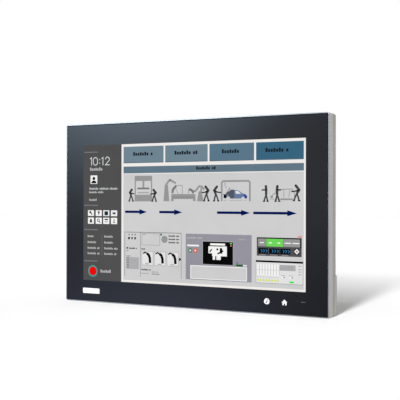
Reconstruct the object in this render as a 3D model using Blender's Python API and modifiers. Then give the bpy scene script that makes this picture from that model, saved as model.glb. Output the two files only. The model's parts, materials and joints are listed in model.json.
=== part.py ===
"""A 21.5 inch industrial touch panel with a finned rear housing and a covered connector bay.

Metres, +Z up, +X to the right seen from the front, and the display faces -Y. The origin is the
middle of the panel's footprint, on the surface that its lower edge stands on.
Depths are measured backwards from the front rim, so a piece at depth d lies at y = FRONT_Y + d.
"""

import math

import bmesh
import bpy
from mathutils import Matrix, Vector

# ---- driving dimensions ----
GAP = 0.0003                   # between pieces that touch
DISPLAY_WIDTH = 0.47664        # active area of a 21.5 inch 16:9 display
DISPLAY_HEIGHT = 0.26811
BORDER_SIDE = 0.0409           # printed border of the cover glass
BORDER_END = 0.0411
RIM = 0.0017                   # metal rim round the glass
FRAME_DEPTH = 0.0190           # front frame, from the rim to the housing joint
CASE_DEPTH = 0.0340            # front rim to the slim rear face
BOX_DEPTH = 0.0500             # front rim to the rear of the electronics box
FIN_HEIGHT = 0.0050
COVER_DEPTH = 0.0450           # front rim to the rear face of the connector cover
COVER_SHEET = 0.0017
BAY_TOP = 0.0720               # height of the connector bay's upper edge
BAY_INSET = 0.0020             # the bay's deeper part, in from the case's sides and foot
CASE_CORNER = 0.0050
FRAME_WALL = 0.0040
HOUSING_FLOOR = 0.0025
VESA_PITCH = 0.1000
BUTTON_TRAVEL = 0.0015

# ---- sizes that follow from them ----
GLASS_WIDTH = DISPLAY_WIDTH + 2 * BORDER_SIDE
GLASS_HEIGHT = DISPLAY_HEIGHT + 2 * BORDER_END
CASE_WIDTH = GLASS_WIDTH + 2 * (GAP + RIM)
CASE_HEIGHT = GLASS_HEIGHT + 2 * (GAP + RIM)
FRONT_Y = -(BOX_DEPTH + FIN_HEIGHT) / 2
MIDDLE = CASE_HEIGHT / 2

# ---- layers behind the glass, as depths ----
GLASS = (0.0003, 0.0033)
SENSOR = (0.0036, 0.0044)
GASKET = (0.0036, 0.0046)
LEDGE = (0.0049, 0.0085)
BEZEL = (0.0088, 0.0172)
CELL = (0.0096, 0.0110)
FILMS = (0.0113, 0.0122)
LIGHT_GUIDE = (0.0125, 0.0155)
TRAY = (0.0113, 0.0168)
PANEL_BOARDS = (0.0175, 0.0188)
HOUSING_JOINT = FRAME_DEPTH + GAP
BOARD = (0.0360, 0.0376)

# ---- the display module ----
MODULE_WIDTH = 0.4956
MODULE_HEIGHT = 0.2922
WINDOW_WIDTH = 0.4900          # opening in the front frame's ledge
WINDOW_HEIGHT = 0.2810
SHEET_STEEL = 0.0005

# ---- the rear housing ----
BOX_HALF = 0.1500              # electronics box
BOX_HEAD = 0.2920
BOX_WALL = 0.0030
HOUSING_FOOT = BAY_TOP + GAP
HOUSING_SILL = HOUSING_FOOT + 0.0037
CASE_SCREWS = [(side * 0.268, z) for z in (0.012, 0.215, 0.342) for side in (-1, 1)]
BOSS_RADIUS = 0.0050
BOSS_FACE = 0.0278             # the frame's bosses meet the housing's here
VESA_HOLES = [
    (side * VESA_PITCH / 2, MIDDLE + up * VESA_PITCH / 2) for up in (-1, 1) for side in (-1, 1)
]
FIN_COUNT = 9
FIN_PITCH = 0.0080
FIN_THICKNESS = 0.0026
FIN_FIRST = 0.0780
FIN_SPAN = (0.0860, 0.2800)

# ---- the connector bay ----
BAY_HALF = 0.2560              # its space
BAY_FLOOR = 0.0220
BAY_SPACE = (0.0080, 0.0660)
EXIT_HALF = 0.1200             # cable exit in its lower wall
EXIT_FLOOR = 0.0355
CABLE_WAYS = (-0.0900, -0.0450, 0.0, 0.0450, 0.0900)
STUDS = {"left": 0.2670, "right": -0.2670}
STUD_Z = 0.0400
IO_BOARD = (0.0223, 0.0239)
PORT_FOOT = 0.0445

# ---- fittings on the rear ----
STORAGE_X = -0.2100
STORAGE_Z = 0.1900
STORAGE_OPENING = (0.0780, 0.1120)
BUTTON_PLACE = (0.2150, 0.1050)
VENT_PLACE = (0.2150, 0.1500)
LABEL_PLACE = (0.2100, 0.2300)
GROUND_PLACE = (-0.2150, 0.0950)
KEY_BOARD_PLACE = (0.2000, 0.0230)
STATUS_PLACE = (0.2340, 0.0232)

ROUND = 24
SMALL_ROUND = 16


def collection(name):
    made = bpy.data.collections.new(name)
    bpy.context.scene.collection.children.link(made)
    return made


def material(name, colour, roughness, metallic=0.0, alpha=1.0):
    made = bpy.data.materials.new(name)
    made.use_nodes = True
    shader = made.node_tree.nodes["Principled BSDF"]
    shader.inputs["Base Color"].default_value = (*colour, 1.0)
    shader.inputs["Roughness"].default_value = roughness
    shader.inputs["Metallic"].default_value = metallic
    shader.inputs["Alpha"].default_value = alpha
    return made


def add_object(name, mesh, x=0.0, depth=0.0, z=0.0, finish=None):
    """Place a mesh; without a finish it is a cutter or a shape that is joined to a part."""
    made = bpy.data.objects.new(name, mesh)
    made.location = (x, FRONT_Y + depth, z)
    if finish is None:
        CUTTERS.objects.link(made)
        made.hide_render = True
        made.display_type = "WIRE"
    else:
        PANEL.objects.link(made)
        made.data.materials.append(finish)
    return made


def mesh_from(bm, name):
    mesh = bpy.data.meshes.new(name)
    bm.to_mesh(mesh)
    bm.free()
    return mesh


def block(name, x, depth, z, finish=None, corner=0.0, front=0.0, rear=0.0):
    """A block between pairs of limits; its front-to-back edges and its rims can be rounded."""
    low = Vector((x[0], depth[0], z[0]))
    high = Vector((x[1], depth[1], z[1]))
    centre = (low + high) / 2
    size = high - low
    bm = bmesh.new()
    bmesh.ops.create_cube(bm, size=1.0, matrix=Matrix.Diagonal((*size, 1.0)))
    if corner:
        edges = [e for e in bm.edges if abs(e.verts[0].co.y - e.verts[1].co.y) > size.y / 2]
        bmesh.ops.bevel(bm, geom=edges, offset=corner, segments=5, profile=0.5, affect="EDGES")
    for side, width in ((-1, front), (1, rear)):
        if width:
            face = side * size.y / 2
            edges = [e for e in bm.edges if all(abs(v.co.y - face) < 1e-6 for v in e.verts)]
            bmesh.ops.bevel(bm, geom=edges, offset=width, segments=3, profile=0.5, affect="EDGES")
    return add_object(name, mesh_from(bm, name), centre.x, centre.y, centre.z, finish)


def centred(name, width, depth, height, finish=None, x=0.0, z=MIDDLE, **rounding):
    """A block given by its width and height about a point of the case."""
    across = (x - width / 2, x + width / 2)
    upright = (z - height / 2, z + height / 2)
    return block(name, across, depth, upright, finish, **rounding)


def blocks(name, limits):
    """Several separate blocks in one mesh, to cut or join in one step."""
    bm = bmesh.new()
    for x, depth, z in limits:
        size = Vector((x[1] - x[0], depth[1] - depth[0], z[1] - z[0]))
        centre = Vector((x[0] + x[1], depth[0] + depth[1], z[0] + z[1])) / 2
        shape = Matrix.Translation(centre) @ Matrix.Diagonal((*size, 1.0))
        bmesh.ops.create_cube(bm, size=1.0, matrix=shape)
    return add_object(name, mesh_from(bm, name))


def rods(name, radius, depth, places, sides=SMALL_ROUND):
    """Round rods that run front to back at several (x, z) places, in one mesh."""
    turn = Matrix.Rotation(math.radians(90), 4, "X")
    bm = bmesh.new()
    for x, z in places:
        shape = Matrix.Translation((x, (depth[0] + depth[1]) / 2, z)) @ turn
        length = depth[1] - depth[0]
        bmesh.ops.create_cone(
            bm, cap_ends=True, segments=sides, radius1=radius, radius2=radius, depth=length, matrix=shape
        )
    return add_object(name, mesh_from(bm, name))


def turned(name, profile, place, depth, finish, steps=ROUND, ring=False):
    """A turned piece on a front-to-back axis.

    The profile's (radius, height) points run down its outer side from the rear; a ring's
    profile comes back up its bore.
    """
    mesh = bpy.data.meshes.new(name)
    edges = [(i, i + 1) for i in range(len(profile) - 1)]
    if ring:
        edges.append((len(profile) - 1, 0))
    mesh.from_pydata([(radius, 0.0, height) for radius, height in profile], edges, [])
    made = add_object(name, mesh, place[0], depth, place[1], finish)
    made.rotation_euler.x = math.radians(-90)
    screw = made.modifiers.new("turn", "SCREW")
    screw.axis = "Z"
    screw.steps = steps
    screw.render_steps = steps
    screw.use_merge_vertices = True
    screw.merge_threshold = 0.00001
    screw.use_smooth_shade = True
    return made


def rectangle(width, height, radius, steps=4):
    """Points round a rectangle with round corners, anticlockwise."""
    points = []
    for quarter, (across, up) in enumerate(((1, 1), (-1, 1), (-1, -1), (1, -1))):
        middle_x = across * (width / 2 - radius)
        middle_z = up * (height / 2 - radius)
        for step in range(steps + 1):
            angle = math.radians(90 * (quarter + step / steps))
            points.append((middle_x + radius * math.cos(angle), middle_z + radius * math.sin(angle)))
    return points


def polygon(sides, radius):
    turns = [math.tau * count / sides for count in range(sides)]
    return [(radius * math.cos(turn), radius * math.sin(turn)) for turn in turns]


def outline(name, loops, thickness):
    """A flat mesh from closed outlines, filled between them, lying in the local XY plane."""
    curve = bpy.data.curves.new(name, "CURVE")
    curve.dimensions = "2D"
    curve.fill_mode = "BOTH"
    curve.extrude = thickness / 2
    for loop in loops:
        spline = curve.splines.new("POLY")
        spline.points.add(len(loop) - 1)
        for point, (across, up) in zip(spline.points, loop):
            point.co = (across, up, 0.0, 1.0)
        spline.use_cyclic_u = True
    guide = bpy.data.objects.new(name + "_outline", curve)
    CUTTERS.objects.link(guide)
    bpy.context.view_layer.update()
    evaluated = guide.evaluated_get(bpy.context.evaluated_depsgraph_get())
    mesh = bpy.data.meshes.new_from_object(evaluated)
    bpy.data.objects.remove(guide)
    bm = bmesh.new()
    bm.from_mesh(mesh)
    bmesh.ops.remove_doubles(bm, verts=bm.verts, dist=0.00001)
    bmesh.ops.recalc_face_normals(bm, faces=bm.faces)
    bm.to_mesh(mesh)
    bm.free()
    return mesh


def band(name, outer, inner, depth, finish=None, z=MIDDLE, corner=0.0030):
    """A flat ring that faces the front, between two rectangles."""
    loops = [rectangle(*outer, corner), rectangle(*inner, corner / 2)]
    made = add_object(name, outline(name, loops, depth[1] - depth[0]), 0.0, sum(depth) / 2, z, finish)
    made.rotation_euler.x = math.radians(90)
    return made


def change(target, other, operation):
    modifier = target.modifiers.new(other.name, "BOOLEAN")
    modifier.operation = operation
    modifier.object = other


def cut(target, *cutters):
    for cutter in cutters:
        change(target, cutter, "DIFFERENCE")


def join(target, *shapes):
    for shape in shapes:
        change(target, shape, "UNION")


def hang_on(name, place, pieces):
    """Parent the pieces that move together to an empty on their joint."""
    empty = bpy.data.objects.new(name, None)
    empty.location = place
    PANEL.objects.link(empty)
    for piece in pieces:
        piece.parent = empty
        piece.location = piece.location - empty.location


# ---- front: frame, glass and what is bonded to it ----
def front_frame(finish):
    half = CASE_WIDTH / 2
    frame = block(
        "front_frame", (-half, half), (0.0, FRAME_DEPTH), (0.0, CASE_HEIGHT), finish,
        corner=CASE_CORNER, front=0.0006,
    )
    bosses = rods("frame_bosses", BOSS_RADIUS, (LEDGE[1] - 0.0005, BOSS_FACE), CASE_SCREWS)
    inner = (CASE_WIDTH - 2 * FRAME_WALL, CASE_HEIGHT - 2 * FRAME_WALL)
    recess = centred("glass_recess", GLASS_WIDTH + 2 * GAP, (-0.001, LEDGE[0]), GLASS_HEIGHT + 2 * GAP)
    cavity = centred("frame_cavity", inner[0], (LEDGE[1], FRAME_DEPTH + 0.001), inner[1])
    window = centred("ledge_window", WINDOW_WIDTH, (0.0, FRAME_DEPTH), WINDOW_HEIGHT)
    key_pocket = centred(
        "key_pocket", 0.0960, (0.0040, 0.0072), 0.0160, x=KEY_BOARD_PLACE[0], z=KEY_BOARD_PLACE[1]
    )
    cut(frame, recess, cavity, window, key_pocket)
    join(frame, bosses)
    cut(frame, rods("frame_threads", 0.0013, (0.0190, BOSS_FACE + 0.001), CASE_SCREWS, 12))


def glass_stack(glass, film, foam, board, clear):
    centred("cover_glass", GLASS_WIDTH, GLASS, GLASS_HEIGHT, glass)
    centred("touch_sensor", 0.5000, SENSOR, 0.2920, film)
    outer = (GLASS_WIDTH - 0.0024, GLASS_HEIGHT - 0.0024)
    inner = (outer[0] - 0.0240, outer[1] - 0.0240)
    band("glass_gasket", outer, inner, GASKET, foam)
    key_x, key_z = KEY_BOARD_PLACE
    centred("touch_key_board", 0.0920, (0.0054, 0.0066), 0.0130, board, x=key_x, z=key_z)
    status_x, status_z = STATUS_PLACE
    centred("status_light_pipe", 0.0100, (0.0036, 0.0051), 0.0030, clear, x=status_x, z=status_z)


# ---- display module and the brackets that hold it ----
def display_module(steel, glass, film, acrylic, board, led):
    across = MODULE_WIDTH
    upright = MODULE_HEIGHT
    bezel = centred("display_bezel", across, BEZEL, upright, steel)
    flange = (BEZEL[0] + SHEET_STEEL, BEZEL[1] + 0.001)
    hollow = centred("bezel_hollow", across - 2 * SHEET_STEEL, flange, upright - 2 * SHEET_STEEL)
    opening = centred("bezel_opening", DISPLAY_WIDTH + 0.0030, (0.0, BEZEL[1]), DISPLAY_HEIGHT + 0.0030)
    cut(bezel, hollow, opening)
    centred("display_cell", across - 0.0080, CELL, upright - 0.0080, glass)
    centred("optical_films", across - 0.0096, FILMS, upright - 0.0096, film)
    centred("light_guide", across - 0.0110, LIGHT_GUIDE, upright - 0.0140, acrylic, z=MIDDLE + 0.0012)
    led_top = MIDDLE + 0.0012 - (upright - 0.0140) / 2 - GAP
    block("led_bar", (-0.2380, 0.2380), LIGHT_GUIDE, (led_top - 0.0020, led_top), led)
    tray = centred("display_tray", across - 0.0018, TRAY, upright - 0.0018, steel)
    hollow = centred("tray_hollow", across - 0.0038, (0.0, TRAY[1] - 0.0008), upright - 0.0038)
    cut(tray, hollow)
    centred("timing_board", 0.2400, PANEL_BOARDS, 0.0320, board, z=0.2950)
    centred("touch_controller_board", 0.0800, PANEL_BOARDS, 0.0340, board, x=-0.1700, z=0.0620)


def display_brackets(steel):
    """Two bent straps that clamp the module's sides against the frame's ledge."""
    sheet = 0.0012
    inner = 0.2300
    leg = MODULE_WIDTH / 2 + GAP
    outer = 0.2610
    foot = LEDGE[1] + GAP
    top = BEZEL[1] + GAP
    section = [
        (inner, top),
        (inner, top + sheet),
        (leg + sheet, top + sheet),
        (leg + sheet, foot + sheet),
        (outer, foot + sheet),
        (outer, foot),
        (leg, foot),
        (leg, top),
    ]
    for name, side in (("left", -1), ("right", 1)):
        loop = [(side * across, depth) for across, depth in section]
        strap = outline("display_bracket_" + name, [loop], 0.2000)
        add_object("display_bracket_" + name, strap, 0.0, 0.0, MIDDLE, steel)


# ---- rear housing and connector bay ----
def case_rear(name, finish):
    """The slim rear of the case, full height; the housing is its upper part and the bay its foot."""
    half = CASE_WIDTH / 2 - 0.0002
    upright = (0.0002, CASE_HEIGHT - 0.0002)
    across = (-half, half)
    return block(name, across, (HOUSING_JOINT, CASE_DEPTH), upright, finish, corner=CASE_CORNER, rear=0.0012)


def rear_housing(finish):
    housing = case_rear("rear_housing", finish)
    foot_cut = block("housing_foot_cut", (-0.4, 0.4), (0.0, 0.1), (-0.1, HOUSING_FOOT))
    box = block(
        "electronics_box", (-BOX_HALF, BOX_HALF), (CASE_DEPTH - 0.004, BOX_DEPTH), (HOUSING_FOOT, BOX_HEAD),
        corner=0.0080, rear=0.0020,
    )
    inner = CASE_WIDTH / 2 - FRAME_WALL
    floor = CASE_DEPTH - HOUSING_FLOOR
    cavity = block(
        "housing_cavity", (-inner, inner), (0.010, floor), (HOUSING_SILL, CASE_HEIGHT - FRAME_WALL)
    )
    box_inner = BOX_HALF - BOX_WALL
    box_floor = BOX_DEPTH - HOUSING_FLOOR
    box_cavity = block(
        "box_cavity", (-box_inner, box_inner), (0.020, box_floor), (HOUSING_SILL, BOX_HEAD - BOX_WALL),
        corner=0.0050,
    )
    cut(housing, foot_cut)
    join(housing, box)
    cut(housing, cavity, box_cavity)
    join(
        housing,
        rods("housing_bosses", BOSS_RADIUS, (BOSS_FACE + GAP, floor + 0.0005), CASE_SCREWS[2:]),
        rods("vesa_bosses", 0.0070, (0.0400, box_floor + 0.0005), VESA_HOLES),
        rods("board_bosses", 0.0035, (BOARD[1] + GAP, box_floor + 0.0005), board_screws()),
    )
    fins = []
    for side in (-1, 1):
        for count in range(FIN_COUNT):
            x = side * (FIN_FIRST + count * FIN_PITCH)
            across = (x - FIN_THICKNESS / 2, x + FIN_THICKNESS / 2)
            fins.append((across, (BOX_DEPTH - 0.001, BOX_DEPTH + FIN_HEIGHT), FIN_SPAN))
    join(housing, blocks("fins", fins))

    rear = CASE_DEPTH + 0.001
    cut(
        housing,
        rods("case_screw_bores", 0.0018, (0.020, rear), CASE_SCREWS[2:]),
        rods("case_screw_heads", 0.0034, (floor - 0.0006, rear), CASE_SCREWS[2:]),
        rods("vesa_bores", 0.0045, (0.0412, BOX_DEPTH + 0.001), VESA_HOLES),
        rods("board_threads", 0.0012, (0.0300, 0.0440), board_screws(), 12),
        rods("button_hole", 0.0080, (0.020, rear), [BUTTON_PLACE], ROUND),
        rods("vent_hole", 0.0050, (0.020, rear), [VENT_PLACE]),
        rods("ground_hole", 0.0023, (0.020, rear), [GROUND_PLACE]),
        centred("storage_opening", STORAGE_OPENING[0], (0.020, rear), STORAGE_OPENING[1],
                x=STORAGE_X, z=STORAGE_Z),
        seal_band("housing_seal_groove", GAP, None),
    )
    use_manifold_solver(housing)


def connector_bay(finish):
    """The case's foot: a deeper tray, open to the rear, for the plugs and their cables."""
    bay = case_rear("connector_bay", finish)
    side = CASE_WIDTH / 2 - BAY_INSET
    rear = COVER_DEPTH - COVER_SHEET - GAP
    deep = block(
        "bay_walls", (-side, side), (CASE_DEPTH - 0.008, rear), (BAY_INSET, BAY_TOP), corner=0.0040
    )
    head_cut = block("bay_head_cut", (-0.4, 0.4), (0.0, 0.1), (BAY_TOP, 0.5))
    space = block("bay_space", (-BAY_HALF, BAY_HALF), (BAY_FLOOR, 0.060), BAY_SPACE)
    cable_exit = block("cable_exit", (-EXIT_HALF, EXIT_HALF), (EXIT_FLOOR, 0.060), (0.001, 0.010))
    stud_places = [(x, STUD_Z) for x in STUDS.values()]
    cut(bay, head_cut)
    join(bay, deep)
    cut(
        bay,
        space,
        cable_exit,
        rods("boss_clearance", BOSS_RADIUS + GAP, (0.010, BOSS_FACE + GAP), CASE_SCREWS[:2]),
        rods("foot_screw_bores", 0.0018, (0.020, 0.060), CASE_SCREWS[:2]),
        rods("foot_screw_heads", 0.0034, (CASE_DEPTH - HOUSING_FLOOR - 0.0006, 0.060), CASE_SCREWS[:2]),
        rods("stud_bores", 0.0024, (0.0250, 0.060), stud_places),
        seal_band("bay_seal_groove", GAP, None),
    )
    use_manifold_solver(bay)


def use_manifold_solver(piece):
    """Bores in this many shared walls are cut cleanly only by the manifold solver."""
    for modifier in piece.modifiers:
        modifier.solver = "MANIFOLD"


def seal_band(name, spare, finish):
    """The cord seal between frame and housing; with a spare width it is its groove."""
    outer = (CASE_WIDTH - 0.0036 + 2 * spare, CASE_HEIGHT - 0.0036 + 2 * spare)
    inner = (CASE_WIDTH - 0.0076 - 2 * spare, CASE_HEIGHT - 0.0076 - 2 * spare)
    return band(name, outer, inner, (HOUSING_JOINT - spare, 0.0211 + spare), finish)


def board_screws():
    return [(side * 0.1200, z) for side in (-1, 1) for z in (0.1000, 0.2600)]


def case_fasteners(steel):
    """Screws that close the case, in counterbores in the housing's rear face."""
    head = 0.0022
    length = 0.0120
    profile = [(0.0, head), (0.0030, head), (0.0030, 0.0), (0.0011, 0.0), (0.0011, -length), (0.0, -length)]
    depth = CASE_DEPTH - HOUSING_FLOOR - 0.0006 + GAP
    for count, place in enumerate(CASE_SCREWS, 1):
        screw = turned("case_screw_%d" % count, profile, place, depth, steel, 12)
        key = centred("hex_socket_%d" % count, 0.0022, (depth + 0.0010, depth + 0.0030), 0.0022,
                      x=place[0], z=place[1])
        cut(screw, key)


def vesa_inserts(steel):
    """Threaded bushes for the mounting bracket's M4 screws."""
    profile = [(0.0042, 0.0042), (0.0042, -0.0042), (0.0017, -0.0042), (0.0017, 0.0042)]
    for count, place in enumerate(VESA_HOLES, 1):
        turned("vesa_insert_%d" % count, profile, place, 0.0457, steel, SMALL_ROUND, ring=True)


# ---- electronics ----
def electronics(board, chip, copper, plastic, silver):
    top = BOARD[1]
    cell_x = 0.1000
    cell_z = 0.2200
    main = block("mainboard", (-0.1300, 0.1300), BOARD, (0.0790, 0.2700), board)
    parts = [
        ((0.0450, 0.0850), (top - 0.0004, top + 0.0060), (0.1050, 0.1150)),
        ((0.0700, 0.0820), (top - 0.0004, top + 0.0070), (0.1500, 0.1620)),
        ((0.0700, 0.0820), (top - 0.0004, top + 0.0070), (0.1680, 0.1800)),
        ((-0.0600, -0.0300), (top - 0.0004, top + 0.0050), (0.0900, 0.0980)),
        ((-0.0200, 0.0150), (top - 0.0004, top + 0.0016), (0.1000, 0.1350)),
        ((cell_x - 0.0125, cell_x + 0.0125), (top - 0.0004, top + 0.0045), (cell_z - 0.0125, cell_z + 0.0125)),
    ]
    join(main, blocks("board_parts", parts))
    cut(
        main,
        rods("board_holes", 0.0016, (0.030, 0.040), board_screws(), 12),
        rods("cell_seat", 0.0103, (top + 0.0012, top + 0.006), [(cell_x, cell_z)], ROUND),
    )
    centred("processor", 0.0380, (top + GAP, top + 0.0024), 0.0380, chip)
    centred("heat_spreader", 0.0560, (top + 0.0027, BOX_DEPTH - HOUSING_FLOOR - GAP), 0.0560, copper)
    socket = block("memory_socket", (-0.1120, -0.1050), (top + GAP, top + 0.0052), (0.1580, 0.2320), plastic)
    slot = block("memory_slot", (-0.1090, -0.1040), (top + 0.0026, top + 0.0044), (0.1605, 0.2295))
    cut(socket, slot)
    block("memory_module", (-0.1087, -0.0780), (top + 0.0029, top + 0.0041), (0.1612, 0.2288), chip)
    profile = [(0.0, 0.0016), (0.0085, 0.0016), (0.0100, 0.0008), (0.0100, -0.0016), (0.0, -0.0016)]
    turned("coin_cell", profile, (cell_x, cell_z), top + 0.0032, silver)
    power = centred("power_board", 0.0900, (0.0225, 0.0241), 0.1000, board, x=0.2120, z=0.2500)
    coils = [
        ((0.1800, 0.1950), (0.0240, 0.0300), (0.2400, 0.2550)),
        ((0.2100, 0.2200), (0.0240, 0.0305), (0.2200, 0.2450)),
        ((0.2300, 0.2450), (0.0240, 0.0290), (0.2650, 0.2800)),
    ]
    join(power, blocks("power_parts", coils))


# ---- connectors in the bay ----
def port(name, x, size, socket, finish):
    """A connector on the bay's board, open downwards."""
    width, height, length = size
    front = IO_BOARD[1] + GAP
    across = (x - width / 2, x + width / 2)
    body = block(name, across, (front, front + height), (PORT_FOOT, PORT_FOOT + length), finish)
    if socket:
        middle = front + height / 2
        opening, tall, deep = socket
        mouth = block(
            name + "_mouth", (x - opening / 2, x + opening / 2), (middle - tall / 2, middle + tall / 2),
            (PORT_FOOT - 0.001, PORT_FOOT + deep),
        )
        cut(body, mouth)
    return body


def connectors(board, black, silver):
    block("io_board", (-0.1400, 0.1400), IO_BOARD, (0.0360, 0.0654), board)
    network = ((0.0160, 0.0118, 0.0210), (0.0118, 0.0076, 0.0120))
    data = ((0.0132, 0.0066, 0.0180), (0.0122, 0.0050, 0.0100))
    port("lan_port_1", -0.0700, *network, silver)
    port("lan_port_2", -0.0480, *network, silver)
    port("usb_port_1", -0.0200, *data, silver)
    port("usb_port_2", 0.0010, *data, silver)
    port("display_port", 0.0290, (0.0180, 0.0068, 0.0170), (0.0162, 0.0048, 0.0090), silver)

    serial_x = 0.0720
    serial = port("serial_port", serial_x, (0.0310, 0.0118, 0.0150), None, silver)
    shell = block(
        "serial_shell", (serial_x - 0.0085, serial_x + 0.0085), (0.0261, 0.0340),
        (PORT_FOOT - 0.0055, PORT_FOOT + 0.0010),
    )
    join(serial, shell)

    power_x = -0.1050
    inlet = port("power_inlet", power_x, (0.0200, 0.0105, 0.0180), (0.0165, 0.0070, 0.0080), black)
    pin_span = (PORT_FOOT + 0.0010, PORT_FOOT + 0.0090)
    pins = [((x - 0.0005, x + 0.0005), (0.0290, 0.0300), pin_span)
            for x in (power_x - 0.0050, power_x, power_x + 0.0050)]
    join(inlet, blocks("power_pins", pins))


# ---- connector cover, cable grommet and the quarter-turn studs ----
def connector_cover(finish, rubber, steel):
    side = CASE_WIDTH / 2 - BAY_INSET
    front = COVER_DEPTH - COVER_SHEET
    cover = block(
        "connector_cover", (-side, side), (front, COVER_DEPTH), (BAY_INSET, BAY_TOP), finish,
        corner=0.0040, rear=0.0006,
    )
    cut(cover, rods("cover_bores", 0.0024, (0.040, 0.050), [(x, STUD_Z) for x in STUDS.values()]))
    hang_on("connector_cover_slide", (0.0, FRONT_Y + COVER_DEPTH, STUD_Z), [cover])

    half = EXIT_HALF - GAP
    comb = (EXIT_FLOOR + GAP, front - GAP)
    grommet = block("cable_grommet", (-half, half), comb, (BAY_INSET, BAY_SPACE[0]), rubber)
    ways = [((x - 0.0045, x + 0.0045), (comb[0] + 0.0014, 0.060), (0.0, 0.020)) for x in CABLE_WAYS]
    cut(grommet, blocks("cable_ways", ways))

    shank = -0.0169
    stud = [
        (0.0, 0.0026), (0.0064, 0.0026), (0.0070, 0.0020), (0.0070, 0.0004), (0.0066, 0.0),
        (0.0020, 0.0), (0.0020, shank + 0.0004), (0.0016, shank), (0.0, shank),
    ]
    for name, x in STUDS.items():
        place = (x, STUD_Z)
        turned_stud = turned("cover_stud_" + name, stud, place, COVER_DEPTH + GAP, steel, 20)
        wing = centred(
            "stud_wing_" + name, 0.0120, (COVER_DEPTH + 0.0020, COVER_DEPTH + 0.0072), 0.0030, x=x, z=STUD_Z
        )
        join(turned_stud, wing)
        hang_on("cover_stud_turn_" + name, (x, FRONT_Y + COVER_DEPTH, STUD_Z), [turned_stud])


# ---- storage door with its drive ----
def storage(finish, steel, chip, screw_finish):
    width, height = STORAGE_OPENING
    door = centred(
        "storage_door", width + 0.0120, (CASE_DEPTH + GAP, CASE_DEPTH + 0.0023), height + 0.0120, finish,
        x=STORAGE_X, z=STORAGE_Z, corner=0.0040, rear=0.0006,
    )
    rim = centred("door_spigot", width - 0.0010, (CASE_DEPTH - 0.0015, CASE_DEPTH + 0.0008), height - 0.0010,
                  x=STORAGE_X, z=STORAGE_Z)
    join(door, rim)
    places = [(STORAGE_X, STORAGE_Z + up * (height / 2 + 0.0028)) for up in (-1, 1)]
    cut(door, rods("door_screw_seats", 0.0024, (0.0300, 0.0400), places))
    tray_size = (width - 0.0020, height - 0.0020)
    tray_depth = (0.0215, CASE_DEPTH - 0.0015 - GAP)
    tray = centred("storage_tray", tray_size[0], tray_depth, tray_size[1], steel, x=STORAGE_X, z=STORAGE_Z)
    inside = centred("tray_inside", tray_size[0] - 0.0020, (tray_depth[0] + 0.0010, 0.040),
                     tray_size[1] + 0.0100, x=STORAGE_X, z=STORAGE_Z)
    cut(tray, inside)
    drive = centred("storage_drive", 0.0698, (0.0228, 0.0298), 0.1002, chip, x=STORAGE_X, z=STORAGE_Z,
                    corner=0.0015)
    screws = []
    for name, place in zip(("lower", "upper"), places):
        profile = [(0.0, 0.0012), (0.0021, 0.0012), (0.0021, -0.0010), (0.0, -0.0010)]
        screws.append(turned("door_screw_" + name, profile, place, CASE_DEPTH + 0.0013, screw_finish, 12))
    hang_on("storage_door_slide", (STORAGE_X, FRONT_Y + CASE_DEPTH, STORAGE_Z), [door, tray, drive, *screws])


# ---- small rear fittings ----
def power_button(steel, black):
    """A sealed push button: a collar through the housing, its nut, and the actuator."""
    collar = [
        (0.0095, 0.0020), (0.0095, 0.0), (0.0077, 0.0), (0.0077, -0.0110), (0.0060, -0.0110), (0.0060, 0.0026),
        (0.0085, 0.0026),
    ]
    turned("power_button_collar", collar, BUTTON_PLACE, CASE_DEPTH + GAP, steel, ROUND, ring=True)
    loops = [polygon(6, 0.0118), polygon(ROUND, 0.0081)]
    nut = add_object(
        "power_button_nut", outline("power_button_nut", loops, 0.0024), BUTTON_PLACE[0], 0.0300, BUTTON_PLACE[1], steel
    )
    nut.rotation_euler.x = math.radians(90)
    actuator = [(0.0, 0.0022), (0.0048, 0.0022), (0.0056, 0.0014), (0.0056, -0.0080), (0.0, -0.0080)]
    turned("power_button", actuator, BUTTON_PLACE, CASE_DEPTH + 0.0020, black, ROUND)


def rear_fittings(steel, black, label):
    vent = [
        (0.0, 0.0030), (0.0062, 0.0030), (0.0075, 0.0018), (0.0075, 0.0), (0.0047, 0.0), (0.0047, -0.0040),
        (0.0, -0.0040),
    ]
    turned("pressure_vent", vent, VENT_PLACE, CASE_DEPTH + GAP, black, SMALL_ROUND)
    ground = [
        (0.0, 0.0034), (0.0030, 0.0034), (0.0036, 0.0028), (0.0036, 0.0010), (0.0050, 0.0010), (0.0050, 0.0),
        (0.0020, 0.0), (0.0020, -0.0060), (0.0, -0.0060),
    ]
    turned("ground_screw", ground, GROUND_PLACE, CASE_DEPTH + GAP, steel, SMALL_ROUND)
    label_x, label_z = LABEL_PLACE
    centred("rating_plate", 0.0800, (CASE_DEPTH + GAP, CASE_DEPTH + 0.0006), 0.0450, label, x=label_x, z=label_z,
            corner=0.0015)


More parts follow.
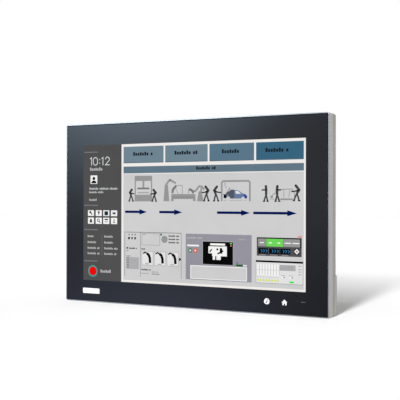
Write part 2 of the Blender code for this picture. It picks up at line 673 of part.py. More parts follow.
def build():
    light_metal = material("cast_aluminium", (0.42, 0.41, 0.39), 0.45, 0.6)
    dark_metal = material("painted_aluminium", (0.34, 0.335, 0.32), 0.5, 0.5)
    plated = material("plated_steel", (0.6, 0.6, 0.58), 0.3, 1.0)
    glass = material("black_printed_glass", (0.02, 0.022, 0.026), 0.08)
    clear = material("clear_acrylic", (0.8, 0.85, 0.85), 0.1)
    display = material("display_glass", (0.05, 0.06, 0.07), 0.2)
    film = material("film", (0.75, 0.75, 0.78), 0.5)
    foam = material("black_foam", (0.03, 0.03, 0.03), 0.9)
    rubber = material("black_rubber", (0.03, 0.03, 0.03), 0.7)
    board = material("circuit_board", (0.02, 0.16, 0.07), 0.5)
    chip = material("dark_resin", (0.04, 0.04, 0.045), 0.45)
    copper = material("copper", (0.72, 0.35, 0.2), 0.3, 1.0)
    plastic = material("black_plastic", (0.05, 0.05, 0.05), 0.5)
    label = material("blank_label", (0.75, 0.75, 0.74), 0.5)

    front_frame(light_metal)
    glass_stack(glass, film, foam, board, clear)
    display_module(plated, display, film, clear, board, label)
    display_brackets(plated)
    rear_housing(dark_metal)
    connector_bay(dark_metal)
    seal_band("housing_seal", 0.0, rubber)
    case_fasteners(plated)
    vesa_inserts(plated)
    electronics(board, chip, copper, plastic, plated)
    connectors(board, plastic, plated)
    connector_cover(dark_metal, rubber, plated)
    storage(dark_metal, plated, chip, plated)
    power_button(plated, plastic)
    rear_fittings(plated, plastic, label)


for old in list(bpy.data.objects):
    bpy.data.objects.remove(old)
PANEL = collection("hmi_touch_panel")
CUTTERS = collection("cutters")
build()
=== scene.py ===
import json
import math
import random

import bmesh
import bpy
from mathutils import Matrix, Vector

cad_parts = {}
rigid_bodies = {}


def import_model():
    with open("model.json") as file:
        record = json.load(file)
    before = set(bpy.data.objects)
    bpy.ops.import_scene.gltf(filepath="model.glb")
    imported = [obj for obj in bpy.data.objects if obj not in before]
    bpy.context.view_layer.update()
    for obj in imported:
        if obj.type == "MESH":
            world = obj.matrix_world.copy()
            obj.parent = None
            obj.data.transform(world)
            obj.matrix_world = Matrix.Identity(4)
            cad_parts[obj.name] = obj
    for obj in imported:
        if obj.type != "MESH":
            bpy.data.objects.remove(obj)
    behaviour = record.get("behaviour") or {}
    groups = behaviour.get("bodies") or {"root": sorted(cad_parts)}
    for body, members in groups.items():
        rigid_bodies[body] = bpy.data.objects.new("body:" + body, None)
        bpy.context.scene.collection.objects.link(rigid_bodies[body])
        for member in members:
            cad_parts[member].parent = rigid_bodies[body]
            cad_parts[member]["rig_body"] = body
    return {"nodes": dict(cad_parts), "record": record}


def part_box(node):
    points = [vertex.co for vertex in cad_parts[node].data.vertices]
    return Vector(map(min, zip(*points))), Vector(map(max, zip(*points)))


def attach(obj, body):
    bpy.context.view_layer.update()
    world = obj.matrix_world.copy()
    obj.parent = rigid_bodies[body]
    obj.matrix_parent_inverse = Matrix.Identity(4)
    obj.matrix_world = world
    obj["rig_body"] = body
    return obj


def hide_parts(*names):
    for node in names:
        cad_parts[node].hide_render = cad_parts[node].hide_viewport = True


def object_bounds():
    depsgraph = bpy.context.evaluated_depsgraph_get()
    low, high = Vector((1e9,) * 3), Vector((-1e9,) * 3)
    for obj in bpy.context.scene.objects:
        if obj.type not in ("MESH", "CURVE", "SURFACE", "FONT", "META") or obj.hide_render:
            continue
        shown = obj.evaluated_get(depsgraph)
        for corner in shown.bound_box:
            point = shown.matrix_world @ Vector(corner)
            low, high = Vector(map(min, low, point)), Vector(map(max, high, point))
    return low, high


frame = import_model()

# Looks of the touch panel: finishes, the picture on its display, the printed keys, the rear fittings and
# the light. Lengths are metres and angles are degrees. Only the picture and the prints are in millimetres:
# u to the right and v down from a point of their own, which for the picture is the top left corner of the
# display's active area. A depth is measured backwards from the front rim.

case_low, case_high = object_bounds()

# ---- sizes ----
MM = 0.001
FRONT_Y = case_low.y
GLASS_LOW, GLASS_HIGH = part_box("cover_glass")
MIDDLE = (GLASS_LOW.z + GLASS_HIGH.z) / 2
DISPLAY_WIDTH = 476.64
DISPLAY_HEIGHT = 268.11
TOUCH_KEYS = (164.4, 198.7, 233.6)     # millimetres to the right of the middle of the glass
LAYER = 0.00002                        # one layer of a picture over the one under it
WORD_BLOCKS = (1.0, 0.72, 0.72, 0.9, 0.72)   # blocks that stand for writing: their heights in turn,
BLOCK_WIDTH = 0.55                     # their width and gaps, all as shares of a line's height
LETTER_GAP = 0.16
WORD_GAP = 0.75
LETTERS = 7                            # blocks in a word
ROUND = 48                             # sides of a turned piece
CORNER_STEPS = 4                       # sides of a rounded corner in a picture
SHARP = 40                             # an edge that turns more than this is broken
BAY_BRIGHT_FROM = 0.0335               # depth behind which the connector bay's sides get a painted highlight, a brighter copy of its cast metal
CASE_DEPTH = 0.0340                    # front rim to the slim rear face
MAINBOARD_FACE = 0.0377                # depths just behind three boards, where their small parts stand
TIMING_BOARD_FACE = 0.0189
IO_BOARD_FACE = 0.0240
KEY_BOARD_FACE = 0.0054                # front face of the touch key board, which carries gilt rings

# ---- camera, fitted to the photograph ----
CAMERA_AZIMUTH = 29.04
CAMERA_ELEVATION = -0.06
CAMERA_ROLL = 0.12
CAMERA_DISTANCE = 1.5982
CAMERA_LENS = 77.64
CAMERA_AIM = (0.0285, 0.0, 0.0257)   # from the middle of the glass

# ---- light ----
KEY_AZIMUTH = 6.0
KEY_WIDTH = 7.0
KEY_ELEVATIONS = (22, 26, 32, 39, 48, 60)
KEY_SHARE = 0.350              # what each of them adds on the floor
AMBIENT = 0.42                 # the white room as matt surfaces see it
FLOOR_GREY = (246, 246, 246)

# What the glass mirrors: a dark card, and over it a window, a table and a strip of wall. Each is a soft lobe
# with an azimuth, an elevation and a sharpness.
CARD_LIGHT = (0.28, 0.30, 0.36)
CARD_FACING = (-29, 0)
CARD_FULL = 24
CARD_GONE = 36
WINDOW_LIGHT = (12.5, 15.6, 19.1)
WINDOW_LOBE = (-33, 13, 82.0)
WINDOW_MOST = 0.55
TABLE_LIGHT = (2.2, 2.5, 3.6)
TABLE_LOBE = (-32, -12, 90.0)
WALL_LIGHT = (1.42, 1.45, 1.66)
WALL_LOBE = (-21, 1, 200.0)
COLOUR_A, COLOUR_B, COLOUR_MIXED = 6, 7, 2   # the colour sockets of Blender's Mix node


def direction(azimuth, elevation):
    """A unit vector from the panel: azimuth 0 is straight out of the display, and more is to the right."""
    a, e = math.radians(azimuth), math.radians(elevation)
    return Vector((math.sin(a) * math.cos(e), -math.cos(a) * math.cos(e), math.sin(e)))


# ---- materials ----
def linear(rgb):
    """A colour given in display values, 0 to 255, as linear light."""
    shares = [value / 255 for value in rgb]
    return tuple(s / 12.92 if s < 0.04 else ((s + 0.055) / 1.055) ** 2.4 for s in shares)


def scaled(colour, factor):
    return (*(min(1.0, value * factor) for value in colour), 1.0)


def node(tree, kind, inputs, **settings):
    """A new shader node; each input gets a value, or a link where a socket is given."""
    made = tree.nodes.new("ShaderNode" + kind)
    for name, value in settings.items():
        setattr(made, name, value)
    for name, value in inputs.items():
        if isinstance(value, bpy.types.NodeSocket):
            tree.links.new(value, made.inputs[name])
        else:
            made.inputs[name].default_value = value
    return made


class Shader:
    """A Principled material and the few node patterns that every finish here is made of."""

    def __init__(self, name):
        self.material = bpy.data.materials.new(name)
        self.material.use_nodes = True
        self.tree = self.material.node_tree
        self.surface = self.tree.nodes["Principled BSDF"]
        self.place = node(self.tree, "TexCoord", {}).outputs["Object"]

    def set(self, **values):
        for name, value in values.items():
            self.surface.inputs[name.replace("_", " ")].default_value = value

    def noise(self, size, stretch=(1, 1, 1), detail=2.0):
        """Noise whose features are about size metres across."""
        place = node(self.tree, "Mapping", {"Vector": self.place, "Scale": stretch}).outputs["Vector"]
        noise = node(self.tree, "TexNoise", {"Vector": place, "Scale": 1 / size, "Detail": detail})
        return noise.outputs["Fac"]

    def between(self, pattern, low, high, socket):
        """Drive a socket between two values, or two colours, with a pattern."""
        dim, bright = 0.3, 0.7
        if isinstance(low, float):
            ends = {"From Min": dim, "From Max": bright, "To Min": low, "To Max": high}
            made = node(self.tree, "MapRange", {"Value": pattern, **ends})
        else:
            made = node(self.tree, "ValToRGB", {"Fac": pattern})
            for stop, position, colour in zip(made.color_ramp.elements, (dim, bright), (low, high)):
                stop.position = position
                stop.color = colour
        self.tree.links.new(made.outputs[0], self.surface.inputs[socket])

    def bump(self, pattern, height, strength=1.0):
        made = node(self.tree, "Bump", {"Height": pattern, "Distance": height, "Strength": strength})
        self.tree.links.new(made.outputs["Normal"], self.surface.inputs["Normal"])


def finish(name, rgb, roughness, metallic=0.0, grain=0.0006, height=0.00002, unevenness=0.05,
           stretch=(1, 1, 1)):
    """A surface with a fine grain, and a faint unevenness in its colour and gloss."""
    shader = Shader(name)
    colour = linear(rgb)
    shader.set(Metallic=metallic)
    broad = shader.noise(0.030)
    fine = shader.noise(grain, stretch)
    shader.between(broad, scaled(colour, 1 - unevenness), scaled(colour, 1 + unevenness), "Base Color")
    shader.between(fine, roughness - 0.05, roughness + 0.05, "Roughness")
    shader.bump(fine, height)
    return shader.material


def circuit_board(name, rgb):
    """Solder mask over copper tracks, which run in straight lines under it."""
    shader = Shader(name)
    colour = linear(rgb)
    upright = node(shader.tree, "Mapping", {"Vector": shader.place, "Rotation": (math.radians(90), 0, 0)})
    tracks = node(shader.tree, "TexBrick", {
        "Vector": upright.outputs["Vector"], "Scale": 180.0, "Mortar Size": 0.06,
        "Color1": scaled(colour, 1.0), "Color2": scaled(colour, 0.8), "Mortar": scaled(colour, 1.9),
    })
    shader.tree.links.new(tracks.outputs["Color"], shader.surface.inputs["Base Color"])
    shader.bump(tracks.outputs["Fac"], 0.00002)
    shader.set(Roughness=0.38)
    return shader.material


def ink(name, rgb):
    """A colour of the lit picture: it glows evenly but for the faint cloudiness of a backlight."""
    shader = Shader("picture_" + name)
    colour = linear(rgb)
    shader.set(Base_Color=(0.0, 0.0, 0.0, 1.0), Roughness=0.35, Specular_IOR_Level=0.0)
    shader.set(Emission_Strength=1.0)
    clouds = shader.noise(0.060)
    shader.between(clouds, scaled(colour, 0.97), scaled(colour, 1.03), "Emission Color")
    return shader.material


def black_glass():
    """Glass printed black from behind: a deep, nearly mirror-smooth black with the faintest smears."""
    shader = Shader("black_printed_glass")
    shader.set(Base_Color=(0.0030, 0.0032, 0.0036, 1.0), Specular_IOR_Level=0.2)
    smears = shader.noise(0.050, (1.0, 1.0, 2.5), 4.0)
    shader.between(smears, 0.05, 0.09, "Roughness")
    shader.bump(smears, 0.000004, 0.2)
    return shader.material


def edge_black():
    """The matt black paint on the ground outer edge of the glass."""
    shader = Shader("blackened_edge")
    shader.set(Base_Color=(0.0080, 0.0085, 0.0110, 1.0), Roughness=1.0, Specular_IOR_Level=0.0)
    return shader.material


METAL = finish("bead_blasted_aluminium", (162, 161, 157), 0.34, metallic=0.85, grain=0.0005)
# Painted shade: a darker copy of the frame metal for the rim's front-facing faces, standing in for the dark
# room they mirror.
RIM_PAINTED_SHADE = finish("machined_rim", (140, 139, 135), 0.25, metallic=0.95, grain=0.0005, height=0.00001)
CAST = finish("cast_aluminium_texture", (155, 152, 148), 0.55, metallic=0.60, grain=0.0011, height=0.00006)
# Painted highlight: a brighter copy of the cast metal for the rear part of the connector bay's sides.
BAY_PAINTED_HIGHLIGHT = finish("machined_aluminium", (186, 184, 180), 0.50, metallic=0.60, grain=0.0006, height=0.00002)
# The connector cover's grey is darker than the case. It is partly its own grey and partly painted shade,
# darkened to match the strip of shade along its edge.
COVER_GREY_AND_SHADE = finish("grey_powder_coat", (124, 123, 120), 0.60, grain=0.0005, height=0.00004)
STEEL = finish("plated_steel", (196, 196, 192), 0.30, metallic=1.0, grain=0.0004, height=0.00001)
SHEET = finish("galvanised_sheet", (186, 189, 190), 0.40, metallic=0.9, grain=0.0080, height=0.00001,
               unevenness=0.12)
MILLED = finish("milled_aluminium", (200, 202, 203), 0.28, metallic=1.0, grain=0.0006, stretch=(1, 1, 0.05))
PLASTIC = finish("black_plastic", (38, 38, 39), 0.55, grain=0.0004)
RESIN = finish("dark_resin", (44, 44, 47), 0.48, grain=0.0003)
RUBBER = finish("black_rubber", (30, 30, 30), 0.80, grain=0.0007, height=0.00004)
FOAM = finish("black_foam", (26, 26, 26), 0.95, grain=0.0003, height=0.00010)
GOLD = finish("gold_plate", (212, 175, 90), 0.25, metallic=1.0, grain=0.0005, height=0.000005)
LABEL = finish("white_label", (226, 226, 223), 0.50, grain=0.0003, height=0.00001, unevenness=0.02)
GREY_PRINT = finish("grey_print", (120, 122, 124), 0.55, grain=0.0003, height=0.00001)
DARK_PRINT = finish("dark_print", (66, 67, 69), 0.55, grain=0.0003, height=0.00001)
WHITE_PRINT = finish("white_print", (214, 216, 216), 0.45, grain=0.0003, height=0.00001, unevenness=0.02)
DIM_PRINT = finish("dim_print", (46, 48, 54), 0.35, grain=0.0003, height=0.00001, unevenness=0.04)
FILM = finish("optical_film", (222, 223, 228), 0.30, grain=0.0010, height=0.000005, unevenness=0.02)
ACRYLIC = finish("clear_acrylic", (214, 224, 226), 0.12, grain=0.0020, height=0.000003, unevenness=0.02)
BLUE_PLASTIC = finish("blue_plastic", (28, 82, 168), 0.45, grain=0.0004)
CERAMIC = finish("ceramic_parts", (168, 148, 118), 0.50, grain=0.0003)
BOARD = circuit_board("green_solder_mask", (20, 92, 58))
GLASS = black_glass()
EDGE_BLACK = edge_black()
CELL = finish("display_cell_glass", (52, 56, 62), 0.18, grain=0.0020, height=0.000003)


# ---- meshes ----
def add(name, mesh, body, slot, materials, *replaced):
    """Put a finished mesh in the scene on its body; it stands for the CAD nodes in replaced."""
    made = bpy.data.objects.new(name, mesh)
    bpy.context.scene.collection.objects.link(made)
    for material in materials:
        mesh.materials.append(material)
    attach(made, body)
    if replaced:
        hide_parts(*replaced)
    return made


def mesh_from(bm, name, smooth=True):
    bmesh.ops.recalc_face_normals(bm, faces=bm.faces)
    mesh = bpy.data.meshes.new(name)
    bm.to_mesh(mesh)
    bm.free()
    mesh.polygons.foreach_set("use_smooth", [smooth] * len(mesh.polygons))
    return mesh


def break_edges(made, width, segments=2):
    """Round off the sharp edges a little, as every real edge is."""
    bevel = made.modifiers.new("broken_edges", "BEVEL")
    bevel.width = width
    bevel.segments = segments
    bevel.limit_method = "ANGLE"
    bevel.angle_limit = math.radians(SHARP)
    normals = made.modifiers.new("even_shading", "WEIGHTED_NORMAL")
    normals.keep_sharp = True
    return made


def refine(part, material, width):
    """A finer copy of a CAD part stands for it: same shape, with broken edges."""
    source = frame["nodes"][part]
    bm = bmesh.new()
    bm.from_mesh(source.data)
    bmesh.ops.remove_doubles(bm, verts=bm.verts, dist=0.000002)
    bmesh.ops.dissolve_limit(bm, angle_limit=math.radians(1.5), verts=bm.verts, edges=bm.edges)
    mesh = mesh_from(bm, part + "_finished")
    made = add(part + "_finished", mesh, source["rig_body"], SLOTS[part], [material], part)
    return break_edges(made, width)


def split_at(name, depth):
    """Cut the faces of a refined piece at a depth, without opening it."""
    mesh = bpy.data.objects[name].data
    bm = bmesh.new()
    bm.from_mesh(mesh)
    everything = [*bm.verts, *bm.edges, *bm.faces]
    bmesh.ops.bisect_plane(bm, geom=everything, plane_co=(0, FRONT_Y + depth, 0), plane_no=(0, 1, 0))
    bm.to_mesh(mesh)
    bm.free()


def recolour(name, material, chosen):
    """Give the chosen faces of a refined piece a second material, which here carries painted shade and a
    painted highlight.
    """
    mesh = bpy.data.objects[name].data
    mesh.materials.append(material)
    for face in mesh.polygons:
        if chosen(face):
            face.material_index = 1


def box_into(bm, low, high, index=0):
    """A box between two corners, in one of the mesh's materials."""
    size = high - low
    shape = Matrix.Translation((low + high) / 2) @ Matrix.Diagonal((*size, 1.0))
    made = bmesh.ops.create_cube(bm, size=1.0, matrix=shape)
    for face in {f for v in made["verts"] for f in v.link_faces}:
        face.material_index = index


def lathe_into(bm, profile, centre, steps):
    """Turn (radius, height) points, from the rear end down the outside, about a front-to-back axis."""
    rings = []
    for radius, height in profile:
        if radius == 0:
            rings.append([bm.verts.new(centre + Vector((0, height, 0)))] * steps)
            continue
        turns = [math.tau * step / steps for step in range(steps)]
        places = [Vector((radius * math.cos(t), height, radius * math.sin(t))) for t in turns]
        rings.append([bm.verts.new(centre + place) for place in places])
    for upper, lower in zip(rings, rings[1:]):
        for step in range(steps):
            after = (step + 1) % steps
            corners = dict.fromkeys([upper[step], upper[after], lower[after], lower[step]])
            bm.faces.new(list(corners))


def ring_into(bm, profile, centre, steps):
    """The same for a closed profile that does not reach the axis."""
    lathe_into(bm, [*profile, profile[0]], centre, steps)
    bmesh.ops.remove_doubles(bm, verts=bm.verts, dist=0.000001)


def prism_into(bm, points, near, far, index=0):
    """A flat shape from (x, z) points, closed between two y values."""
    sides = [[bm.verts.new((x, y, z)) for x, z in points] for y in (near, far)]
    faces = [bm.faces.new(sides[0]), bm.faces.new(sides[1][::-1])]
    for here in range(len(points)):
        after = (here + 1) % len(points)
        faces.append(bm.faces.new((sides[0][after], sides[0][here], sides[1][here], sides[1][after])))
    for face in faces:
        face.material_index = index


SLOTS = {row["node"]: row["material_slot"] for row in frame["record"]["subparts"]}


# ---- the picture and the prints, flat shapes laid on the glass ----
class Drawing:
    """Flat shapes in millimetres on a flat face, each a thin closed slab, in layers over one another.

    They are seen from the front where outward is -1, and from behind where it is 1."""

    def __init__(self, name, origin, face, outward=-1):
        self.name = name
        self.origin = origin
        self.face = face
        self.outward = outward
        self.bm = bmesh.new()
        self.inks = []

    def shape(self, points, ink_used, layer):
        """One closed shape from its (u, v) corners."""
        if ink_used not in self.inks:
            self.inks.append(ink_used)
        near = self.face + self.outward * (layer + 1) * LAYER
        far = near - self.outward * 0.9 * LAYER
        placed = [(self.origin[0] - self.outward * u * MM, self.origin[1] - v * MM) for u, v in points]
        prism_into(self.bm, placed, near, far, self.inks.index(ink_used))

    def rect(self, left, top, right, foot, ink_used, layer=1, radius=0.0):
        if radius:
            corners = []
            middles = ((right, top, 1, -1), (left, top, -1, -1), (left, foot, -1, 1), (right, foot, 1, 1))
            for quarter, (u, v, across, down) in enumerate(middles):
                for step in range(CORNER_STEPS + 1):
                    turn = math.radians(90 * (quarter + step / CORNER_STEPS))
                    corners.append((
                        u - across * radius + radius * math.cos(turn),
                        v - down * radius - radius * math.sin(turn),
                    ))
        else:
            corners = [(left, top), (right, top), (right, foot), (left, foot)]
        self.shape(corners, ink_used, layer)

    def rects(self, ink_used, layer, *boxes):
        """Plain rectangles in one ink and one layer."""
        for left, top, right, foot in boxes:
            self.rect(left, top, right, foot, ink_used, layer)

    def disc(self, u, v, radius, ink_used, layer=2, sides=32):
        turns = [math.tau * side / sides for side in range(sides)]
        self.shape([(u + radius * math.cos(t), v + radius * math.sin(t)) for t in turns], ink_used, layer)

    def arc(self, u, v, inner, outer, start, end, ink_used, layer=2):
        """Part of a ring, in degrees clockwise from the right."""
        steps = max(8, round(abs(end - start) / 9))
        for step in range(steps):
            near = math.radians(start + (end - start) * step / steps)
            far = math.radians(start + (end - start) * (step + 1) / steps)
            corners = ((inner, near), (outer, near), (outer, far), (inner, far))
            points = [(u + reach * math.cos(t), v + reach * math.sin(t)) for reach, t in corners]
            self.shape(points, ink_used, layer)

    def frame(self, left, top, right, foot, width, ink_used, layer=2):
        self.rect(left, top, right, top + width, ink_used, layer)
        self.rect(left, foot - width, right, foot, ink_used, layer)
        self.rect(left, top + width, left + width, foot - width, ink_used, layer)
        self.rect(right - width, top + width, right, foot - width, ink_used, layer)

    def line(self, points, width, ink_used, layer=2):
        """A bent line of even width, with mitred corners."""
        left, right = [], []
        for here, point in enumerate(points):
            before = Vector(points[max(here - 1, 0)])
            after = Vector(points[min(here + 1, len(points) - 1)])
            middle = Vector(point)
            along_in = (middle - before).normalized() if here else (after - middle).normalized()
            along_out = (after - middle).normalized() if here < len(points) - 1 else along_in
            normal = Vector((-along_in.y - along_out.y, along_in.x + along_out.x)).normalized()
            reach = width / 2 / max(0.4, normal.dot(Vector((-along_in.y, along_in.x))))
            left.append(tuple(middle + normal * reach))
            right.append(tuple(middle - normal * reach))
        self.shape(left + right[::-1], ink_used, layer)

    def words(self, left, top, right, foot, ink_used, layer=2):
        """A row of plain blocks where the photographed screen has a line of writing."""
        height = foot - top
        block = BLOCK_WIDTH * height
        u, count = left, 0
        while u + block < right + 0.1 * height:
            tall = WORD_BLOCKS[count % len(WORD_BLOCKS)] * height
            self.rect(u, foot - tall, u + block, foot, ink_used, layer)
            count += 1
            u += block + (LETTER_GAP if count % LETTERS else WORD_GAP) * height

    def done(self, body="case", slot="display_glass"):
        return add(self.name, mesh_from(self.bm, self.name, smooth=False), body, slot, self.inks)


def picture(name):
    """A drawing from the top left corner of the display's active area."""
    corner = (-DISPLAY_WIDTH / 2 * MM, MIDDLE + DISPLAY_HEIGHT / 2 * MM)
    return Drawing(name, corner, GLASS_LOW.y)


WHITE = ink("white", (245, 245, 244))
SIDE_GREY = ink("sidebar", (81, 81, 82))
SIDE_EDGE = ink("sidebar_edge", (66, 66, 67))
RULE = ink("rule", (124, 125, 126))
PALE = ink("pale_text", (190, 191, 192))
DIGIT = ink("digits", (226, 227, 228))
SURROUND = ink("surround", (240, 236, 233))
FIELD = ink("field", (206, 206, 207))
TAB_GREEN = ink("tab_green", (112, 133, 146))
TAB_BLUE = ink("tab_blue", (90, 119, 138))
TAB_DEEP = ink("tab_deep", (57, 101, 127))
BAR = ink("bar", (98, 120, 134))
TAB_TEXT = ink("tab_text", (26, 34, 42))
MACHINE = ink("machine", (150, 150, 151))
SHADE = ink("shade", (120, 121, 122))
FIGURE = ink("figure", (66, 68, 72))
BLACK = ink("black", (10, 10, 11))
NAVY = ink("navy", (0, 22, 84))
CAR_BLUE = ink("car_blue", (44, 66, 150))
CAR_GREY = ink("car_grey", (84, 88, 100))
TEAL = ink("teal", (16, 52, 66))
TEAL_RING = ink("teal_ring", (70, 160, 155))
RED = ink("red", (250, 6, 6))
GREEN_DOT = ink("green_dot", (20, 96, 40))
GREEN = ink("green", (0, 235, 20))
DEEP_GREEN = ink("deep_green", (44, 130, 84))
LIME = ink("lime", (112, 214, 92))
ORANGE = ink("orange", (226, 84, 40))
CORAL = ink("coral", (235, 130, 115))
YELLOW = ink("yellow", (215, 225, 0))
VIOLET_GREY = ink("violet_grey", (149, 147, 157))
PANEL_GREY = ink("panel_grey", (80, 80, 82))
TRACE_BLUE = ink("trace_blue", (50, 120, 170))
SOFT_WHITE = ink("soft_white", (226, 226, 227))
SIDE_TEXT = ink("side_text", (180, 180, 181))
CAR_SLATE = ink("car_slate", (104, 122, 158))
TAB_SHADE = ink("tab_shade", (84, 108, 122))
FIELD_LINE = ink("field_line", (178, 178, 180))


def sidebar():
    """The dark column on the left, from its four digits and its eight white keys to the round red mark."""
    d = picture("screen_sidebar")
    d.rect(0, 0, 90.6, DISPLAY_HEIGHT, SIDE_GREY, 0)
    d.rect(88.7, 0, 90.6, DISPLAY_HEIGHT, SIDE_EDGE, 1)
    d.rect(90.6, 0, 91.9, DISPLAY_HEIGHT, MACHINE, 0)
    for v in (12.7, 118.4, 166.7, 229):
        d.rect(2, v, 35, v + 1.8, RULE, 1)
    thin = 1.5
    for left in (16, 43.8):
        d.line([(left, 27), (left + 3.6, 24.6), (left + 3.6, 40)], thin, DIGIT)
    d.arc(29, 29.6, 4.4, 5.9, 180, 360, DIGIT)
    d.arc(29, 34.2, 4.4, 5.9, 0, 180, DIGIT)
    d.rects(DIGIT, 2, (23.1, 29.6, 24.6, 34.2), (33.4, 29.6, 34.9, 34.2))
    d.disc(39.4, 28.6, 1.1, DIGIT)
    d.disc(39.4, 35.6, 1.1, DIGIT)
    d.arc(58, 28.6, 3.9, 5.4, 180, 380, DIGIT)
    d.line([(62.5, 30.4), (53.4, 39.3), (63.6, 39.3)], thin, DIGIT)
    d.words(16, 44.2, 49.6, 50.4, SIDE_TEXT)
    d.rect(17.2, 59.8, 33.7, 76.6, WHITE, 2, radius=0.8)
    d.disc(25.4, 66, 3.3, BLACK, 3)
    d.shape([(19.2, 75.4), (20, 72.4), (23.2, 70.2), (27.8, 70.2), (31, 72.4), (31.8, 75.4)], BLACK, 3)
    d.words(14.7, 83.8, 82, 88.2, PALE)
    d.words(14.2, 91.2, 50.2, 95, PALE)
    d.words(14.2, 106, 33.4, 110.4, SIDE_TEXT)
    for column, u in enumerate((11.1, 30.1, 48.2, 66.8)):
        for row, (top, foot) in enumerate(((129, 140.3), (143.6, 155.9))):
            d.rect(u, top, u + 14.7, foot, WHITE, 2, radius=0.6)
            sidebar_mark(d, u + 7.35, (top + foot) / 2, column + 4 * row)
    rows = ((178.4, 25.6, 73), (190.2, 32.8, 75.4), (201.6, 38.8, 84.2), (212.4, 40.6, 80.9))
    for v, first_end, second_end in rows:
        d.words(10.5, v, first_end, v + 4.2, SIDE_TEXT)
        d.words(50.8, v, second_end, v + 4.2, SIDE_TEXT)
    d.rect(45.1, 177, 45.7, 218, RULE, 2)
    d.arc(23.4, 249.7, 9.2, 11.6, 0, 360, TEAL_RING)
    d.disc(23.4, 249.7, 8.3, RED)
    d.words(41.8, 246, 70, 252, SIDE_TEXT)
    d.done()


def sidebar_mark(d, u, v, kind):
    """One of eight plain marks on the sidebar's white keys."""
    if kind == 0:
        d.disc(u - 1.6, v - 1.8, 2.4, TEAL, 3, sides=20)
        d.line([(u - 1.6, v - 1.6), (u + 3, v + 3.4)], 2, TEAL, 3)
    elif kind == 1:
        d.disc(u, v - 1.6, 2.7, SHADE, 3, sides=20)
        d.rect(u - 0.8, v - 1, u + 0.8, v + 3.8, TEAL, 4)
    elif kind == 2:
        d.rect(u - 4.4, v - 3.8, u + 4.4, v + 4.2, TEAL, 3)
    elif kind == 3:
        d.shape([
            (u - 3.4, v - 3.4), (u - 0.4, v - 1), (u + 3.4, v - 3.6),
            (u + 3.4, v + 3.6), (u - 0.4, v + 1), (u - 3.4, v + 3.4),
        ], TEAL, 3)
    elif kind == 4:
        d.shape([
            (u - 4, v + 3.6), (u - 2.6, v + 1.6), (u - 2.2, v - 2.2), (u, v - 4), (u + 2.2, v - 2.2),
            (u + 2.6, v + 1.6), (u + 4, v + 3.6),
        ], TEAL, 3)
    elif kind == 5:
        d.arc(u - 1, v - 1, 1.8, 3.2, 0, 360, TEAL, 3)
        d.line([(u + 0.8, v + 1), (u + 3.6, v + 4)], 1.8, TEAL, 3)
    elif kind == 6:
        d.rect(u - 4.2, v - 4, u + 4.2, v - 1.4, TEAL, 3)
        d.rect(u - 4.2, v + 1.2, u + 4.2, v + 2.6, SHADE, 3)
    else:
        d.rect(u - 1.2, v - 3.4, u + 1.2, v + 1.6, SHADE, 3)
        d.rect(u - 3, v + 2.4, u + 3, v + 3.6, TEAL, 3)


def surround():
    """The pale ground of the picture's main part, and the grey field on it."""
    d = picture("screen_ground")
    d.rect(91.9, 0, DISPLAY_WIDTH, DISPLAY_HEIGHT, SURROUND, 0)
    d.rect(96.3, 58.4, 473, 263.9, FIELD, 1)
    d.done()


def tabs():
    """The four tabs along the top and the bar under them."""
    d = picture("screen_tabs")
    rows = (
        (96.3, 187.6, TAB_GREEN, 119.8, 162.3),
        (191.2, 282.8, TAB_GREEN, 212.8, 261.7),
        (286.5, 377.4, TAB_BLUE, 313.3, 351.7),
        (381.4, 472.9, TAB_DEEP, 400.8, 446.8),
    )
    for left, right, colour, first, last in rows:
        d.rect(left, 5.1, right, 37.2, colour, 1)
        d.rect(left, 35.6, right, 37.2, TAB_SHADE, 2)
        d.words(first - 1, 15.8, last + 1, 23, TAB_TEXT)
    d.rect(96.3, 43.6, 473.2, 56.9, BAR, 1)
    d.words(258.5, 46, 302.5, 52, TAB_TEXT)
    d.done()


def worker(d, head, back, hand, waist, feet, foot_line):
    """A figure at work: head, back and waist, one reaching arm and two legs."""
    d.disc(head[0], head[1], 2.2, BLACK, 3, sides=20)
    d.line([head, back, waist], 4.8, FIGURE, 4)
    d.line([back, ((back[0] + hand[0]) / 2, hand[1] - 0.6), hand], 2.2, BLACK, 5)
    for foot in feet:
        knee = (0.4 * waist[0] + 0.6 * foot, 0.5 * waist[1] + 0.5 * foot_line)
        d.line([waist, knee, (foot, foot_line - 1)], 3, FIGURE, 6)
        d.rect(foot - 2.2, foot_line - 2, foot + 2.2, foot_line, BLACK, 7)


